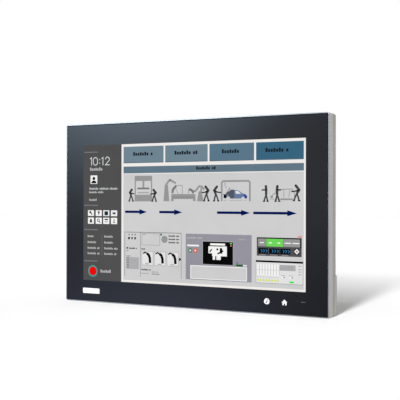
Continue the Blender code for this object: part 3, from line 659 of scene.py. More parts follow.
def line_diagram():
    """The row of stations along the middle of the picture, and the arrows under it."""
    d = picture("screen_line_diagram")
    d.rect(122.2, 62, 162.2, 72, MACHINE, 2, radius=2.4)
    d.rects(MACHINE, 3, (122.2, 70, 125, 99.2), (159.4, 70, 162.2, 99.2), (140.4, 71, 144.4, 85))
    d.rect(128.4, 84.6, 155.8, 88, SHADE, 4, radius=0.8)
    d.rect(129, 93.2, 155.2, 94.8, MACHINE, 3)
    d.rect(129, 96.2, 155.2, 97.4, FIELD_LINE, 3)
    d.rect(122.2, 98.6, 162.2, 111.2, MACHINE, 4, radius=1.4)
    worker(d, (115.7, 88.5), (111.4, 94), (121.8, 96.7), (114, 99), (110, 118.6), 111.6)
    worker(d, (165.2, 89.2), (170.2, 94.4), (157.7, 97.3), (167, 99), (162.6, 171), 111.8)

    d.shape([(190.4, 80), (197.4, 80), (200.4, 110.8), (187.6, 110.8)], MACHINE, 2)
    d.line([(193.8, 83), (194.6, 77.6), (201.6, 70.4), (208, 73.4), (214.8, 76.8)], 4, MACHINE, 3)
    d.disc(193.8, 81.4, 3.4, MACHINE, 4, sides=20)
    d.disc(202, 71, 2.2, SHADE, 4, sides=20)
    d.line([(207, 95.4), (208.8, 88), (215.6, 81.6)], 4.6, SHADE, 3)
    d.line([(213.4, 81.4), (228.6, 80.8), (229.2, 97.4)], 1.3, MACHINE, 2)
    d.line([(214, 82), (215.4, 90), (220.4, 96.6)], 1, MACHINE, 2)
    d.line([(241.6, 96.4), (243.4, 88.4)], 1.6, MACHINE, 2)
    d.line([(242.6, 88.4), (248.4, 89.6), (253.4, 95.6)], 4.4, SHADE, 3)
    d.rect(205, 97.2, 257, 106.6, MACHINE, 3, radius=0.8)
    d.rect(207.6, 102.4, 254.6, 103.4, SHADE, 4)
    d.rects(MACHINE, 4, (204.6, 104.6, 210, 110.6), (252, 104.6, 257.4, 110.6))
    d.line([(251.6, 91.4), (257.2, 91.6), (265, 82.8), (270.6, 83.6), (276, 89)], 3.6, MACHINE, 2)
    d.shape([(264, 92.2), (270.4, 92.2), (274.4, 110.8), (260.6, 110.8)], MACHINE, 2)
    d.line([(270, 86), (268.4, 96)], 3.6, MACHINE, 2)
    worker(d, (278.5, 83.8), (284.2, 90.6), (270.4, 94.6), (280.4, 97), (275.4, 285), 111)
    worker(d, (302.3, 83.8), (296.6, 90.6), (311.1, 94.6), (300, 97), (296.4, 305.2), 111)

    d.line([
        (312.2, 110.4), (312.2, 76.6), (315, 73.8), (366.4, 73.8), (369.2, 76.6), (369.2, 110.4)
    ], 3.4, MACHINE, 2)
    d.line([(318.8, 75.2), (319, 82), (321.8, 87)], 2.4, FIELD_LINE, 3)
    d.line([(319.4, 99), (329.6, 86)], 2, MACHINE, 3)
    d.rect(315.8, 108.4, 362, 109.8, FIELD_LINE, 3)
    d.shape([
        (319.6, 97), (326.6, 93.4), (331, 90.4), (341, 90), (347.6, 91.8),
        (354, 96), (361, 98.4), (364, 101.4), (363.4, 105.6), (318.6, 105.6),
    ], CAR_SLATE, 3)
    d.shape([(324, 95), (331, 89.4), (337.6, 89.4), (337.6, 105.6), (330, 105.6)], CAR_GREY, 4)
    d.shape([(356, 96.6), (361, 98.4), (364, 101.4), (363.4, 105.6), (359.6, 105.6)], CAR_BLUE, 5)
    d.shape([(339.8, 91.8), (345.4, 92), (352, 97.2), (341, 96.8)], SOFT_WHITE, 5)
    d.disc(325.6, 106, 4.2, FIELD, 6, sides=24)
    d.disc(355.6, 106, 3.6, FIELD, 6, sides=24)
    d.disc(319.2, 102, 3.2, BLACK, 6, sides=24)
    d.line([(320, 99.4), (326.4, 93.6)], 3, CAR_GREY, 6)
    d.line([(316, 97.6), (320, 100.4)], 2.2, BLACK, 7)

    worker(d, (400.7, 83.8), (401.4, 90.8), (392.5, 90.6), (401.2, 99), (397.2, 404.2), 111.4)
    worker(d, (423, 83.8), (422, 90.8), (430.5, 90.6), (422.6, 99), (419.6, 426.8), 111.4)
    worker(d, (458, 83), (464.2, 90.6), (449.5, 93.3), (460, 96.4), (454.4, 464.4), 110.4)
    d.line([
        (413, 103.4), (414.6, 97.6), (420.4, 95.4), (430.4, 89.4),
        (450.6, 88.8), (455.4, 95.6), (456, 104.6),
    ], 1.4, MACHINE, 2)
    d.disc(411.8, 102.6, 2.6, MACHINE, 3, sides=20)
    d.line([(435.4, 89.4), (435.4, 104)], 1.2, MACHINE, 2)
    d.line([(447, 89), (445, 103.6)], 1.2, MACHINE, 2)
    d.rect(408.8, 106.2, 458, 107.8, FIELD_LINE, 2)
    d.rect(428.8, 105.4, 452, 108.4, MACHINE, 3)

    arrows = ((100.1, 133.4, 150.6), (178.3, 211.2, 229), (302.5, 351.9, 369.9), (375.9, 442, 460.2))
    for tail, head, tip in arrows:
        d.shape([
            (tail, 129.1), (head, 129.1), (head, 126.2), (tip, 131.5),
            (head, 136.6), (head, 133.7), (tail, 133.7),
        ], NAVY, 2)
    d.done()


def gauge(d, left, right):
    """A pale meter with one black band that starts level and turns down."""
    d.rect(left, 206.6, right, 233.6, SOFT_WHITE, 3)
    d.frame(left, 206.6, right, 233.6, 0.7, MACHINE, 4)
    d.line([(left + 2.6, 211.2), (left + 7.6, 209), (left + 12.4, 211)], 2.6, BLACK, 5)
    turned_down = [(left + 12, 210.8), (left + 16.2, 214.4), (left + 18.4, 220.4), (left + 18.8, 229)]
    d.line(turned_down, 5.4, BLACK, 6)
    d.rect(left + 8, 230, left + 16, 231.6, MACHINE, 5)


def left_window():
    """The lower left part of the picture: a list, a small chart and three meters."""
    d = picture("screen_window_gauges")
    d.rect(99, 170.2, 227.2, 171.4, SHADE, 2)
    for u in (99, 135.2, 226.2):
        d.rect(u, 171.4, u + 1.3, 256.3, MACHINE, 2)
    for u, reach in ((109.9, 2.6), (116.8, 1.7), (123.9, 2.2)):
        d.disc(u, 175.6, 1.6, SHADE, 2, sides=16)
        flag = [(u - reach, 185), (u - reach, 180.4), (u + reach, 180.4), (u + 0.4 * reach, 184.6)]
        d.shape(flag, BLACK, 2)
    d.disc(105.3, 201.6, 1.9, BLACK, 2, sides=20)
    d.words(109.4, 200.2, 127.5, 203.2, BLACK)
    d.words(103.4, 206, 109, 207.4, FIGURE)
    d.words(103, 216, 115, 218, SHADE)
    d.rect(102.8, 219, 132.4, 242, FIELD_LINE, 2)
    for row in range(7):
        top = 219.8 + 3.2 * row
        d.rect(103.8, top, 110, top + 1.5, SHADE, 3)
        d.rect(112, top + 2.2, 131.4, top + 2.8, MACHINE, 3)
    d.frame(139, 172.6, 179.6, 195.2, 0.8, MACHINE, 3)
    d.words(141, 174, 149, 175.4, SHADE, 4)
    d.disc(182.4, 174.2, 2, GREEN_DOT, 2, sides=20)
    d.disc(190, 183.1, 7, MACHINE, 2)
    for v in (176.4, 182.6, 188.6):
        d.words(199.2, v - 1.5, 221.6, v + 1.5, BLACK)
    d.words(138.6, 201, 147.4, 203.8, BLACK)
    for left in (139, 167.2, 195.4):
        gauge(d, left, left + 25.8)
    d.shape([(222, 216.2), (227.4, 219.9), (222, 223.6)], BLACK, 7)
    d.words(138.4, 240.6, 160, 243.6, BLACK)
    d.words(138.6, 248.4, 154, 250, SHADE)
    d.words(161.6, 245, 176, 246.6, SHADE)
    d.words(161.6, 248.8, 179, 250.6, FIGURE)
    d.done()


def centre_window():
    """The lower middle part of the picture: a camera view of a machine among a few small marks."""
    d = picture("screen_window_camera")
    d.rect(236.6, 171.2, 373, 256.3, VIOLET_GREY, 2)
    d.words(240, 176.6, 272, 180.4, FIELD_LINE, 3)
    d.rect(271.6, 183.6, 336.4, 227.4, FIELD_LINE, 3)
    d.rect(272.9, 184.8, 335.5, 226.7, BLACK, 4)
    d.rect(288.6, 187.8, 319.4, 191.6, WHITE, 5, radius=0.8)
    d.rect(284.8, 193.4, 308.4, 206.4, WHITE, 5, radius=1.2)
    d.rect(313.6, 193, 323, 211.2, WHITE, 5, radius=1)
    d.rect(292.6, 206.4, 323, 211.2, WHITE, 6)
    d.rect(293.8, 211.2, 299, 218, WHITE, 5)
    d.rect(301.4, 211.2, 310.6, 218, WHITE, 5, radius=0.8)
    d.rect(308.4, 193.4, 315, 196.4, WHITE, 6)
    d.line([(287.4, 204.4), (291.8, 198.6)], 2.4, BLACK, 7)
    d.disc(303.4, 198.8, 2, BLACK, 7, sides=20)
    d.line([(303.6, 206.8), (312, 203.4), (315.6, 200.8)], 2.6, BLACK, 7)
    d.disc(331.3, 187.5, 1.7, LIME, 5, sides=16)
    d.disc(331.3, 191.6, 1.4, CORAL, 5, sides=16)
    d.rect(239.9, 191.5, 264.8, 194.5, WHITE, 3)
    for u, colour in ((246.3, DEEP_GREEN), (257.1, ORANGE)):
        d.arc(u, 202.3, 2, 4.2, 0, 360, colour, 3)
        d.disc(u, 202.3, 2, SOFT_WHITE, 3, sides=20)
    d.words(347, 178.4, 363, 180.6, FIELD_LINE, 3)
    d.disc(344, 222.3, 1.4, CAR_BLUE, 4, sides=16)
    d.rect(355.7, 225.2, 363.6, 228, SOFT_WHITE, 4)
    d.rect(341.7, 224.9, 355.7, 228.2, GREEN_DOT, 5)
    d.rect(246.6, 229.6, 363.8, 254.8, WHITE, 3)
    d.rect(248.2, 231, 362.6, 253.6, FIELD, 4)
    d.done()


def right_windows():
    """The lower right part of the picture: a status panel over a panel of rows and lamps."""
    d = picture("screen_window_status")
    d.rect(383.1, 174.6, 469.2, 207.5, PANEL_GREY, 2)
    d.rects(BLACK, 3, (383.1, 174.6, 469.2, 176.4), (467, 176.4, 469.2, 192))
    d.rect(385.6, 176.9, 401, 190.6, MACHINE, 3)
    d.rect(401.6, 176.9, 434.1, 190.6, LIME, 3)
    d.rect(434.6, 176.9, 466, 190.6, MACHINE, 3)
    for u, wide in ((389, 8), (406.6, 6), (423.4, 5), (437, 12), (452, 13)):
        d.rect(u, 183.2, u + wide, 185, WHITE, 4)
    for left, right in ((386, 405), (407, 427.5), (428.6, 448)):
        d.rect(left, 193.7, right, 203.8, BLACK, 3)
        for step in (0.34, 0.58, 0.84):
            u = left + step * (right - left)
            d.line([(u - 1.6, 196), (u + 1.4, 198.2), (u - 1, 201.6)], 1.2, TRACE_BLUE, 4)
        d.rect(left + 2, 205, right - 4, 206.2, MACHINE, 3)
    d.disc(460.2, 198.3, 5.4, BLACK, 3)
    d.shape([(460.2, 193.4), (465.1, 198.3), (460.2, 203.2), (455.3, 198.3)], WHITE, 4)
    d.disc(460.2, 198.3, 1.5, FIGURE, 5, sides=16)
    d.rect(462.2, 171, 469.4, 173.6, CORAL, 3)

    d.rect(381.3, 215.9, 472.1, 256.3, SHADE, 1)
    d.rect(382, 218.9, 471.4, 255.4, SOFT_WHITE, 2)
    d.rect(381.3, 215.6, 472.1, 218.9, BLACK, 3)
    for column in range(8):
        u = 383.8 + 5.5 * column
        d.rect(u, 222.6, u + 3.6, 231.4, WHITE, 4, radius=0.8)
        d.rect(u, 233.2, u + 3.6, 242.6, WHITE, 4, radius=0.8)
        d.rect(u + 4.2, 224, u + 4.9, 241, FIELD_LINE, 4)
        d.disc(u + 1.8, 244.9, 0.7, SHADE, 4, sides=12)
        d.disc(u + 1.8, 250.7, 1.8, YELLOW, 4, sides=20)
    d.rect(427.6, 222.4, 458, 232.6, FIELD_LINE, 3)
    for v in (223, 229, 233, 238):
        d.rect(463, v, 469, v + 0.9, SHADE, 4)
    for row in range(4):
        d.words(429, 223.2 + 2.4 * row, 457 - 4 * (row % 2), 224.4 + 2.4 * row, MACHINE, 4)
    for u in (434.5, 450):
        d.words(u - 4, 240, u + 4.6, 241.4, MACHINE, 4)
        d.rect(u - 3.4, 242.8, u + 3.4, 245.8, WHITE, 4, radius=1.3)
        d.disc(u + 1.6, 244.3, 1.4, SHADE, 5, sides=16)
    d.rect(446.3, 250.7, 454.8, 253.6, GREEN, 4)
    d.done()


def printed_keys():
    """The marks printed on the glass under the display, where the touch keys are."""
    d = picture("printed_touch_keys")
    middle_u = DISPLAY_WIDTH / 2
    middle_v = DISPLAY_HEIGHT / 2
    u, v = middle_u + TOUCH_KEYS[0], middle_v + 154.0
    d.disc(u, v, 5.4, WHITE_PRINT, 0)
    d.line([(u - 1.3, v + 3.2), (u + 1.1, v - 1.4)], 2.1, DARK_PRINT, 1)
    d.disc(u + 1.5, v - 3.2, 1.1, DARK_PRINT, 1, sides=16)
    u = middle_u + TOUCH_KEYS[1]
    d.shape([(u - 5.4, v + 0.2), (u, v - 5.0), (u + 5.4, v + 0.2)], WHITE_PRINT, 0)
    d.shape([
        (u - 3.8, v + 0.2), (u + 3.8, v + 0.2), (u + 3.8, v + 5.0), (u + 1.2, v + 5.0), (u + 1.2, v + 1.9),
        (u - 1.2, v + 1.9), (u - 1.2, v + 5.0), (u - 3.8, v + 5.0),
    ], WHITE_PRINT, 0)
    u, v = middle_u + TOUCH_KEYS[2], middle_v + 151.7
    d.rect(u - 4.6, v - 0.7, u + 4.6, v + 0.7, DIM_PRINT, 0, radius=0.6)
    d.done(slot="cover_glass")

    edge = picture("blackened_glass_edge")
    inset = 0.2
    reach = (GLASS_HIGH.x - GLASS_LOW.x) / MM / 2 - inset
    rise = (GLASS_HIGH.z - GLASS_LOW.z) / MM / 2 - inset
    edge.frame(middle_u - reach, middle_v - rise, middle_u + reach, middle_v + rise, 1.1, EDGE_BLACK, 0)
    edge.done(slot="cover_glass")

    plate = picture("blank_maker_plate")
    left, top, right, foot = middle_u - 239, middle_v + 150.1, middle_u - 199, middle_v + 160.4
    rim = 0.8
    plate.rect(left, top, right, foot, WHITE_PRINT, 0, radius=0.6)
    plate.rect(left + rim, top + rim, right - rim, foot - rim, LABEL, 1, radius=0.4)
    plate.done(slot="label")


# ---- fittings that stand for turned CAD nodes ----
def centre_of(part):
    """The middle of a part's rear end."""
    low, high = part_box(part)
    return Vector(((low.x + high.x) / 2, high.y, (low.z + high.z) / 2))


def combine(made, other_bm, operation):
    """Join a shape to a piece, or cut it out of it, for good."""
    other = bpy.data.objects.new("other", mesh_from(other_bm, "other"))
    bpy.context.scene.collection.objects.link(other)
    change = made.modifiers.new("combine", "BOOLEAN")
    change.operation = operation
    change.object = other
    bpy.context.view_layer.update()
    evaluated = made.evaluated_get(bpy.context.evaluated_depsgraph_get())
    made.data = bpy.data.meshes.new_from_object(evaluated)
    made.modifiers.clear()
    bpy.data.objects.remove(other)


def hexagon(centre, radius):
    """The (x, z) corners of a hexagon about a point."""
    turns = [math.radians(60 * side) for side in range(6)]
    return [(centre.x + radius * math.cos(t), centre.z + radius * math.sin(t)) for t in turns]


def turned(part, profile, material, ring=False, steps=ROUND):
    """A smooth turned piece for a CAD part; heights are measured forwards from the part's rear end."""
    bm = bmesh.new()
    centre = centre_of(part)
    points = [(radius, -height) for radius, height in profile]
    if ring:
        ring_into(bm, points, centre, steps)
    else:
        lathe_into(bm, points, centre, steps)
    mesh = mesh_from(bm, part + "_finished")
    return add(part + "_finished", mesh, frame["nodes"][part]["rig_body"], SLOTS[part], [material], part)


def socket_screw(part, head_height, head_radius, shank_radius):
    """A screw with a hexagon socket and, if it shows, a plain shank."""
    low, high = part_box(part)
    length = high.y - low.y
    profile = [
        (0, 0), (head_radius - 0.0005, 0), (head_radius - 0.0001, 0.00015), (head_radius, 0.0005),
        (head_radius, head_height),
    ]
    if shank_radius:
        tip = 0.0004
        profile += [(shank_radius, head_height), (shank_radius, length - tip), (shank_radius - tip, length)]
        profile.append((0, length))
    else:
        profile.append((0, head_height))
    screw = turned(part, profile, STEEL, steps=32)
    centre = centre_of(part)
    key = bmesh.new()
    prism_into(key, hexagon(centre, head_radius * 0.52), centre.y - 0.0012, centre.y + 0.001)
    combine(screw, key, "DIFFERENCE")
    break_edges(screw, 0.00006, 1)


def fasteners():
    """The case screws, the door screws and the threaded bushes of the mounting face."""
    for count in range(1, 7):
        socket_screw("case_screw_%d" % count, 0.0022, 0.0030, 0.0011)
    for place in ("lower", "upper"):
        socket_screw("door_screw_" + place, 0.0022, 0.0021, 0)
    for count in range(1, 5):
        turned("vesa_insert_%d" % count, [
            (0.0038, 0), (0.0042, 0.0004), (0.0042, 0.0080), (0.0038, 0.0084),
            (0.0021, 0.0084), (0.0017, 0.0080), (0.0017, 0.0004), (0.0021, 0),
        ], STEEL, ring=True)


def ground_screw():
    """A cross-slotted screw with a washer face, and the earth mark beside it."""
    screw = turned("ground_screw", [
        (0, 0), (0.0024, 0.0001), (0.0031, 0.0004), (0.0036, 0.0010), (0.0036, 0.0023), (0.0047, 0.0024),
        (0.0050, 0.0027), (0.0050, 0.0034), (0.0020, 0.0034), (0.0020, 0.0090), (0.0016, 0.0094),
        (0, 0.0094),
    ], STEEL)
    centre = centre_of("ground_screw")
    for along, across in ((0.0022, 0.0005), (0.0005, 0.0022)):
        slot = bmesh.new()
        box_into(slot, centre - Vector((along, 0.0015, across)), centre + Vector((along, 0.001, across)))
        combine(screw, slot, "DIFFERENCE")
    mark = Drawing("earth_mark", (centre.x, centre.z - 0.0100), FRONT_Y + CASE_DEPTH, 1)
    mark.rect(-0.4, -3.2, 0.4, 0, GREY_PRINT, 0)
    for step, half in enumerate((3.4, 2.2, 1.0)):
        mark.rect(-half, 1.5 * step, half, 1.5 * step + 0.7, GREY_PRINT, 0)
    mark.done(slot="label")


def power_button():
    """The steel collar and the dished black button in it, with its printed mark."""
    collar = turned("power_button_collar", [
        (0.0064, 0), (0.0085, 0), (0.0092, 0.0003), (0.0095, 0.0009), (0.0095, 0.0026), (0.0077, 0.0026),
        (0.0077, 0.0136), (0.0060, 0.0136), (0.0060, 0.0004),
    ], STEEL, ring=True, steps=64)
    break_edges(collar, 0.0001)
    turned("power_button", [
        (0, 0.0007), (0.0022, 0.0005), (0.0040, 0.0001), (0.0047, 0), (0.0053, 0.0003), (0.0056, 0.0009),
        (0.0056, 0.0102), (0, 0.0102),
    ], PLASTIC, steps=64)
    centre = centre_of("power_button")
    mark = Drawing("power_mark", (centre.x, centre.z), centre.y - 0.00055, 1)
    mark.arc(0, 0.3, 1.9, 2.5, -50, 230, WHITE_PRINT, 0)
    mark.rect(-0.3, -2.7, 0.3, -0.3, WHITE_PRINT, 0)
    mark.done("power_button", "black_plastic")


def pressure_vent():
    """A round plug with six notches in its rim."""
    vent = turned("pressure_vent", [
        (0, 0.0003), (0.0040, 0.0001), (0.0058, 0), (0.0066, 0.0003), (0.0075, 0.0012), (0.0075, 0.0030),
        (0.0047, 0.0030), (0.0047, 0.0070), (0, 0.0070),
    ], PLASTIC)
    centre = centre_of("pressure_vent")
    for side in range(6):
        turn = Matrix.Rotation(math.radians(60 * side), 4, "Y")
        slot = bmesh.new()
        box_into(slot, Vector((0.0056, -0.0023, -0.0012)), Vector((0.0090, -0.0014, 0.0012)))
        bmesh.ops.transform(slot, matrix=Matrix.Translation(centre) @ turn, verts=slot.verts)
        combine(vent, slot, "DIFFERENCE")


def cover_studs():
    """The quarter-turn studs of the connector cover, each with a wing to turn it by."""
    for side in ("left", "right"):
        part = "cover_stud_" + side
        stud = turned(part, [
            (0, 0.0046), (0.0062, 0.0046), (0.0068, 0.0049), (0.0070, 0.0054), (0.0070, 0.0067),
            (0.0066, 0.0071), (0.0020, 0.0071), (0.0020, 0.0234), (0.0016, 0.0238), (0, 0.0238),
        ], STEEL)
        centre = centre_of(part)
        wing = bmesh.new()
        outline = [
            (-0.0060, -0.0009), (-0.0053, -0.0015), (0.0053, -0.0015), (0.0060, -0.0009),
            (0.0060, 0.0009), (0.0053, 0.0015), (-0.0053, 0.0015), (-0.0060, 0.0009),
        ]
        prism_into(wing, [(centre.x + x, centre.z + z) for x, z in outline], centre.y - 0.0055, centre.y)
        combine(stud, wing, "UNION")
        break_edges(stud, 0.0002, 2)


def rating_plate():
    """A blank white label with ruled boxes and blocks for its words."""
    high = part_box("rating_plate")[1]
    refine("rating_plate", LABEL, 0.0001)
    prints = Drawing("rating_plate_print", (high.x, high.z), high.y, 1)
    prints.frame(3, 3, 77, 42, 0.4, DARK_PRINT, 0)
    prints.rect(3, 12.6, 77, 13.0, DARK_PRINT, 0)
    prints.rect(52, 13.0, 52.4, 42, DARK_PRINT, 0)
    for row in range(6):
        prints.words(6, 16.4 + 4.0 * row, 46.0 - 5.0 * (row % 3), 18.4 + 4.0 * row, GREY_PRINT, 0)
    prints.words(6, 6.2, 40, 9.6, DARK_PRINT, 0)
    prints.done(slot="label")


# ---- connectors ----
def contacts(name, boxes, material, slot):
    """Loose small blocks, such as a connector's contacts, as one piece."""
    bm = bmesh.new()
    for low, high in boxes:
        box_into(bm, Vector(low), Vector(high))
    return break_edges(add(name, mesh_from(bm, name), "case", slot, [material]), 0.00008, 1)


def row_of_contacts(x, count, pitch, width, depths, upright):
    """Boxes side by side about x, between two depths and two heights."""
    near, far = FRONT_Y + depths[0], FRONT_Y + depths[1]
    places = [x + pitch * (step - (count - 1) / 2) for step in range(count)]
    return [((p - width / 2, near, upright[0]), (p + width / 2, far, upright[1])) for p in places]


def tongue_and_contacts(part, tongue, material, pins):
    """What is inside a socket. The tongue is given by half its width, its depths and its heights."""
    x = centre_of(part).x
    half, near, far, foot, head = tongue
    block = ((x - half, FRONT_Y + near, foot), (x + half, FRONT_Y + far, head))
    contacts(part + "_tongue", [block], material, "black_plastic")
    contacts(part + "_contacts", row_of_contacts(x, *pins), GOLD, "plated_steel")


def ports():
    """The sockets: steel shells with contacts in them, and two lamps at each network socket."""
    for part in ("lan_port_1", "lan_port_2"):
        refine(part, STEEL, 0.0002)
        x = centre_of(part).x
        pins = row_of_contacts(x, 8, 0.00102, 0.00045, (0.0265, 0.0271), (0.0465, 0.0560))
        contacts(part + "_contacts", pins, GOLD, "plated_steel")
        lamps = row_of_contacts(x, 2, 0.0120, 0.0024, (0.0343, 0.0355), (0.0444, 0.0447))
        contacts(part + "_lamps", lamps, ACRYLIC, "clear_acrylic")
    for part in ("usb_port_1", "usb_port_2"):
        refine(part, STEEL, 0.0002)
        pins = (4, 0.0024, 0.0011, (0.02715, 0.0274), (0.0466, 0.0540))
        tongue_and_contacts(part, (0.0054, 0.0254, 0.0272, 0.0458, 0.0542), BLUE_PLASTIC, pins)
    refine("display_port", STEEL, 0.0002)
    pins = (10, 0.0012, 0.0005, (0.02825, 0.0285), (0.0468, 0.0530))
    tongue_and_contacts("display_port", (0.0066, 0.0269, 0.0283, 0.0462, 0.0532), PLASTIC, pins)
    refine("power_inlet", PLASTIC, 0.0003)
    serial_port()


def serial_port():
    """A nine-pin connector: a flange, a D-shaped shell and two rows of pins."""
    low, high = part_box("serial_port")
    x = (low.x + high.x) / 2
    middle = FRONT_Y + 0.03005
    shell = [(-0.0085, -0.0039), (0.0085, -0.0039), (0.0076, 0.0039), (-0.0076, 0.0039)]
    inner = [(a - math.copysign(0.0006, a), b - math.copysign(0.0006, b)) for a, b in shell]
    bm = bmesh.new()
    box_into(bm, Vector((low.x, low.y, low.z + 0.0055)), high)
    name = "serial_port_finished"
    port = add(name, mesh_from(bm, name), "case", "plated_steel", [STEEL], "serial_port")
    upright = Matrix.Translation((x, middle, 0)) @ Matrix.Rotation(math.radians(-90), 4, "X")
    steps = ((shell, low.z, 0.0470, "UNION"), (inner, low.z - 0.001, 0.0440, "DIFFERENCE"))
    for points, foot, top, operation in steps:
        part = bmesh.new()
        prism_into(part, points, -top, -foot)
        bmesh.ops.transform(part, matrix=upright, verts=part.verts)
        combine(port, part, operation)
    break_edges(port, 0.00015)
    pins = row_of_contacts(x, 5, 0.00277, 0.0010, (0.0312, 0.0322), (0.0400, 0.0450))
    pins += row_of_contacts(x, 4, 0.00277, 0.0010, (0.0284, 0.0294), (0.0400, 0.0450))
    contacts("serial_port_pins", pins, GOLD, "plated_steel")


# ---- small parts on the boards ----
def board_parts(name, area, face, heights, count):
    """Chips and ceramic parts scattered in rows over an area of a board's rear face."""
    left, right, foot, head = area
    order = random.Random(name)
    bm = bmesh.new()
    columns = max(1, round(math.sqrt(count * (right - left) / (head - foot))))
    rows = max(1, round(count / columns))
    for column in range(columns):
        for row in range(rows):
            wide = (right - left) / columns * order.uniform(0.35, 0.75)
            high = (head - foot) / rows * order.uniform(0.35, 0.75)
            x = left + (right - left) * (column + 0.5) / columns
            z = foot + (head - foot) * (row + 0.5) / rows
            tall = order.uniform(*heights)
            low = Vector((x - wide / 2, FRONT_Y + face, z - high / 2))
            box_into(bm, low, low + Vector((wide, tall, high)), order.randrange(3))
    made = add(name, mesh_from(bm, name), "case", "dark_resin", [RESIN, CERAMIC, STEEL])
    return break_edges(made, 0.0001, 1)


def boards():
    """Small parts on the boards' rear faces, and a gilt ring behind each printed touch key."""
    main = MAINBOARD_FACE
    board_parts("mainboard_parts_upper", (0.022, 0.062, 0.205, 0.262), main, (0.0008, 0.0020), 28)
    board_parts("mainboard_parts_left", (-0.068, -0.034, 0.110, 0.262), main, (0.0006, 0.0018), 40)
    board_parts("mainboard_parts_foot", (0.022, 0.120, 0.122, 0.144), main, (0.0006, 0.0016), 30)
    board_parts("timing_board_parts", (-0.112, 0.112, 0.283, 0.307), TIMING_BOARD_FACE, (0.0004, 0.0009), 44)
    board_parts("io_board_parts", (-0.128, 0.100, 0.0372, 0.0380), IO_BOARD_FACE, (0.0003, 0.0006), 46)
    pads = Drawing("touch_key_pads", (0, MIDDLE), FRONT_Y + KEY_BOARD_FACE)
    ring_height = 23.0
    for u in TOUCH_KEYS:
        pads.arc(u, MIDDLE / MM - ring_height, 2.8, 4.8, 0, 360, GOLD, 0)
    pads.done(slot="circuit_board")


def drive():
    """The storage drive with a blank label on it."""
    refine("storage_drive", MILLED, 0.0003)
    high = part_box("storage_drive")[1]
    label = Drawing("drive_label", (high.x, high.z), high.y, 1)
    label.rect(6, 8, 63.8, 70, LABEL, 0, radius=1.0)
    for row in range(5):
        label.words(10, 14 + 6.0 * row, 50.0 - 7.0 * (row % 3), 17 + 6.0 * row, GREY_PRINT, 1)
    label.done("storage_door", "label")


FINISHES = {
    "front_frame": (METAL, 0.00030),
    "rear_housing": (CAST, 0.00040),
    "connector_bay": (CAST, 0.00040),
    "connector_cover": (COVER_GREY_AND_SHADE, 0.00025),
    "storage_door": (CAST, 0.00025),
    "cover_glass": (GLASS, 0.00015),
    "touch_sensor": (FILM, 0.00010),
    "glass_gasket": (FOAM, 0.00010),
    "touch_key_board": (BOARD, 0.00010),
    "status_light_pipe": (ACRYLIC, 0.00020),
    "display_bezel": (SHEET, 0.00010),
    "display_cell": (CELL, 0.00010),
    "optical_films": (FILM, 0.00010),
    "light_guide": (ACRYLIC, 0.00020),
    "led_bar": (LABEL, 0.00010),
    "display_tray": (SHEET, 0.00015),
    "timing_board": (BOARD, 0.00010),
    "touch_controller_board": (BOARD, 0.00010),
    "display_bracket_left": (SHEET, 0.00020),
    "display_bracket_right": (SHEET, 0.00020),
    "housing_seal": (RUBBER, 0.00030),
    "mainboard": (BOARD, 0.00010),
    "processor": (RESIN, 0.00020),
    "heat_spreader": (MILLED, 0.00030),
    "memory_socket": (PLASTIC, 0.00020),
    "memory_module": (BOARD, 0.00010),
    "coin_cell": (STEEL, 0.00010),
    "power_board": (BOARD, 0.00020),
    "io_board": (BOARD, 0.00010),
    "cable_grommet": (RUBBER, 0.00050),
    "storage_tray": (SHEET, 0.00015),
    "power_button_nut": (STEEL, 0.00030),
}


# ---- the room ----
def world():
    """A white studio. For mirror reflections it holds a dark card opposite the glass, with a blue-grey
    window, a table and a strip of wall on it, which together draw the soft gradient on the black border."""
    made = bpy.data.worlds.new("studio")
    bpy.context.scene.world = made
    made.use_nodes = True
    tree = made.node_tree
    place = node(tree, "TexCoord", {}).outputs["Generated"]

    def facing(azimuth, elevation):
        """How directly a ray runs towards a direction, as a cosine."""
        ends = {0: place, 1: direction(azimuth, elevation)}
        return node(tree, "VectorMath", ends, operation="DOT_PRODUCT").outputs["Value"]

    def sums(operation, first, second):
        """One step of arithmetic on a socket."""
        return node(tree, "Math", {0: first, 1: second}, operation=operation).outputs[0]

    def lobe(azimuth, elevation, sharpness):
        """A soft spot of light: one in its own direction, and falling off about it."""
        return sums("POWER", sums("MAXIMUM", facing(azimuth, elevation), 0.0), sharpness)

    def mix(share, first, second):
        """From the first colour to the second; either is a plain colour or another node's."""
        low, high = ((*end, 1.0) if isinstance(end, tuple) else end for end in (first, second))
        ends = {0: share, COLOUR_A: low, COLOUR_B: high}
        return node(tree, "Mix", ends, data_type="RGBA").outputs[COLOUR_MIXED]

    card = node(tree, "MapRange", {
        "Value": facing(*CARD_FACING),
        "From Min": math.cos(math.radians(CARD_GONE)),
        "From Max": math.cos(math.radians(CARD_FULL)),
    }, interpolation_type="SMOOTHSTEP")
    window = sums("MINIMUM", lobe(*WINDOW_LOBE), WINDOW_MOST)
    dark = mix(window, CARD_LIGHT, WINDOW_LIGHT)
    dark = mix(lobe(*TABLE_LOBE), dark, TABLE_LIGHT)
    dark = mix(lobe(*WALL_LOBE), dark, WALL_LIGHT)
    white = (1.0, 1.0, 1.0)
    mirrored = mix(card.outputs["Result"], white, dark)
    ray = node(tree, "LightPath", {})
    lit = mix(ray.outputs["Is Diffuse Ray"], white, (AMBIENT, AMBIENT, AMBIENT))
    seen = mix(ray.outputs["Is Glossy Ray"], lit, mirrored)
    background = tree.nodes["Background"]
    background.inputs["Strength"].default_value = 1.0
    tree.links.new(seen, background.inputs["Color"])


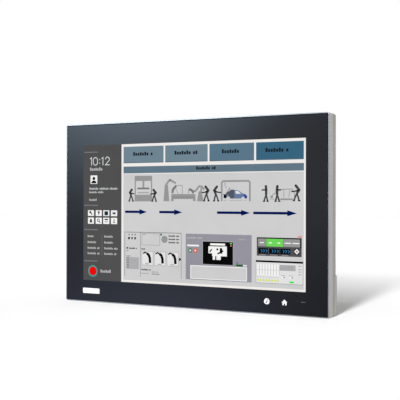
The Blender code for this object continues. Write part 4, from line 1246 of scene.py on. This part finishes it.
def floor():
    """A pale floor. Mirror rays pass through it, so that it leaves no bright edge on the glass."""
    bm = bmesh.new()
    bmesh.ops.create_grid(bm, x_segments=1, y_segments=1, size=8.0)
    made = bpy.data.objects.new("floor", mesh_from(bm, "floor"))
    bpy.context.scene.collection.objects.link(made)
    shader = Shader("pale_floor")
    colour = linear(FLOOR_GREY)
    shader.set(Roughness=0.9, Specular_IOR_Level=0.0)
    shader.between(shader.noise(0.5), scaled(colour, 0.99), scaled(colour, 1.01), "Base Color")
    ray = node(shader.tree, "LightPath", {}).outputs["Is Glossy Ray"]
    clear = node(shader.tree, "BsdfTransparent", {}).outputs["BSDF"]
    mix = node(shader.tree, "MixShader", {0: ray, 1: shader.surface.outputs["BSDF"], 2: clear})
    output = shader.tree.nodes["Material Output"]
    shader.tree.links.new(mix.outputs["Shader"], output.inputs["Surface"])
    made.data.materials.append(shader.material)


def key_lights():
    """A tall soft light in front, narrow across and long upwards: a few suns over one another."""
    for elevation in KEY_ELEVATIONS:
        light = bpy.data.lights.new("key_%d" % elevation, "SUN")
        light.energy = KEY_SHARE / math.sin(math.radians(elevation))
        light.angle = math.radians(KEY_WIDTH)
        made = bpy.data.objects.new(light.name, light)
        made.rotation_mode = "QUATERNION"
        made.rotation_quaternion = direction(KEY_AZIMUTH, elevation).to_track_quat("Z", "Y")
        bpy.context.scene.collection.objects.link(made)


def camera():
    """The camera looks back along a direction from a point beside the middle of the glass."""
    azimuth, roll = math.radians(CAMERA_AZIMUTH), math.radians(CAMERA_ROLL)
    back = direction(CAMERA_AZIMUTH, CAMERA_ELEVATION)
    right = Vector((math.cos(azimuth), math.sin(azimuth), 0))
    up = back.cross(right)
    rolled_right = right * math.cos(roll) + up * math.sin(roll)
    rolled_up = up * math.cos(roll) - right * math.sin(roll)
    aim = Vector((0, GLASS_LOW.y, MIDDLE)) + Vector(CAMERA_AIM)
    data = bpy.data.cameras.new("camera")
    data.sensor_width = 36.0
    data.lens = CAMERA_LENS
    made = bpy.data.objects.new("camera", data)
    turn = Matrix((rolled_right, rolled_up, back)).transposed().to_4x4()
    made.matrix_world = Matrix.Translation(aim + back * CAMERA_DISTANCE) @ turn
    bpy.context.scene.collection.objects.link(made)
    bpy.context.scene.camera = made


for finished, (material, width) in FINISHES.items():
    refine(finished, material, width)
# Painted shade: the frame's faces that look straight out of the front get the darker rim metal.
recolour("front_frame_finished", RIM_PAINTED_SHADE, lambda face: face.normal.y < -0.9)
# Painted highlight on the rear part of the connector bay's sides, behind BAY_BRIGHT_FROM.
split_at("connector_bay_finished", BAY_BRIGHT_FROM)
recolour("connector_bay_finished", BAY_PAINTED_HIGHLIGHT, lambda face: face.center.y > FRONT_Y + BAY_BRIGHT_FROM)
fasteners()
ground_screw()
power_button()
pressure_vent()
cover_studs()
rating_plate()
ports()
boards()
drive()
sidebar()
surround()
tabs()
line_diagram()
left_window()
centre_window()
right_windows()
printed_keys()
world()
floor()
key_lights()
camera()
bpy.context.scene.view_settings.view_transform = "Standard"
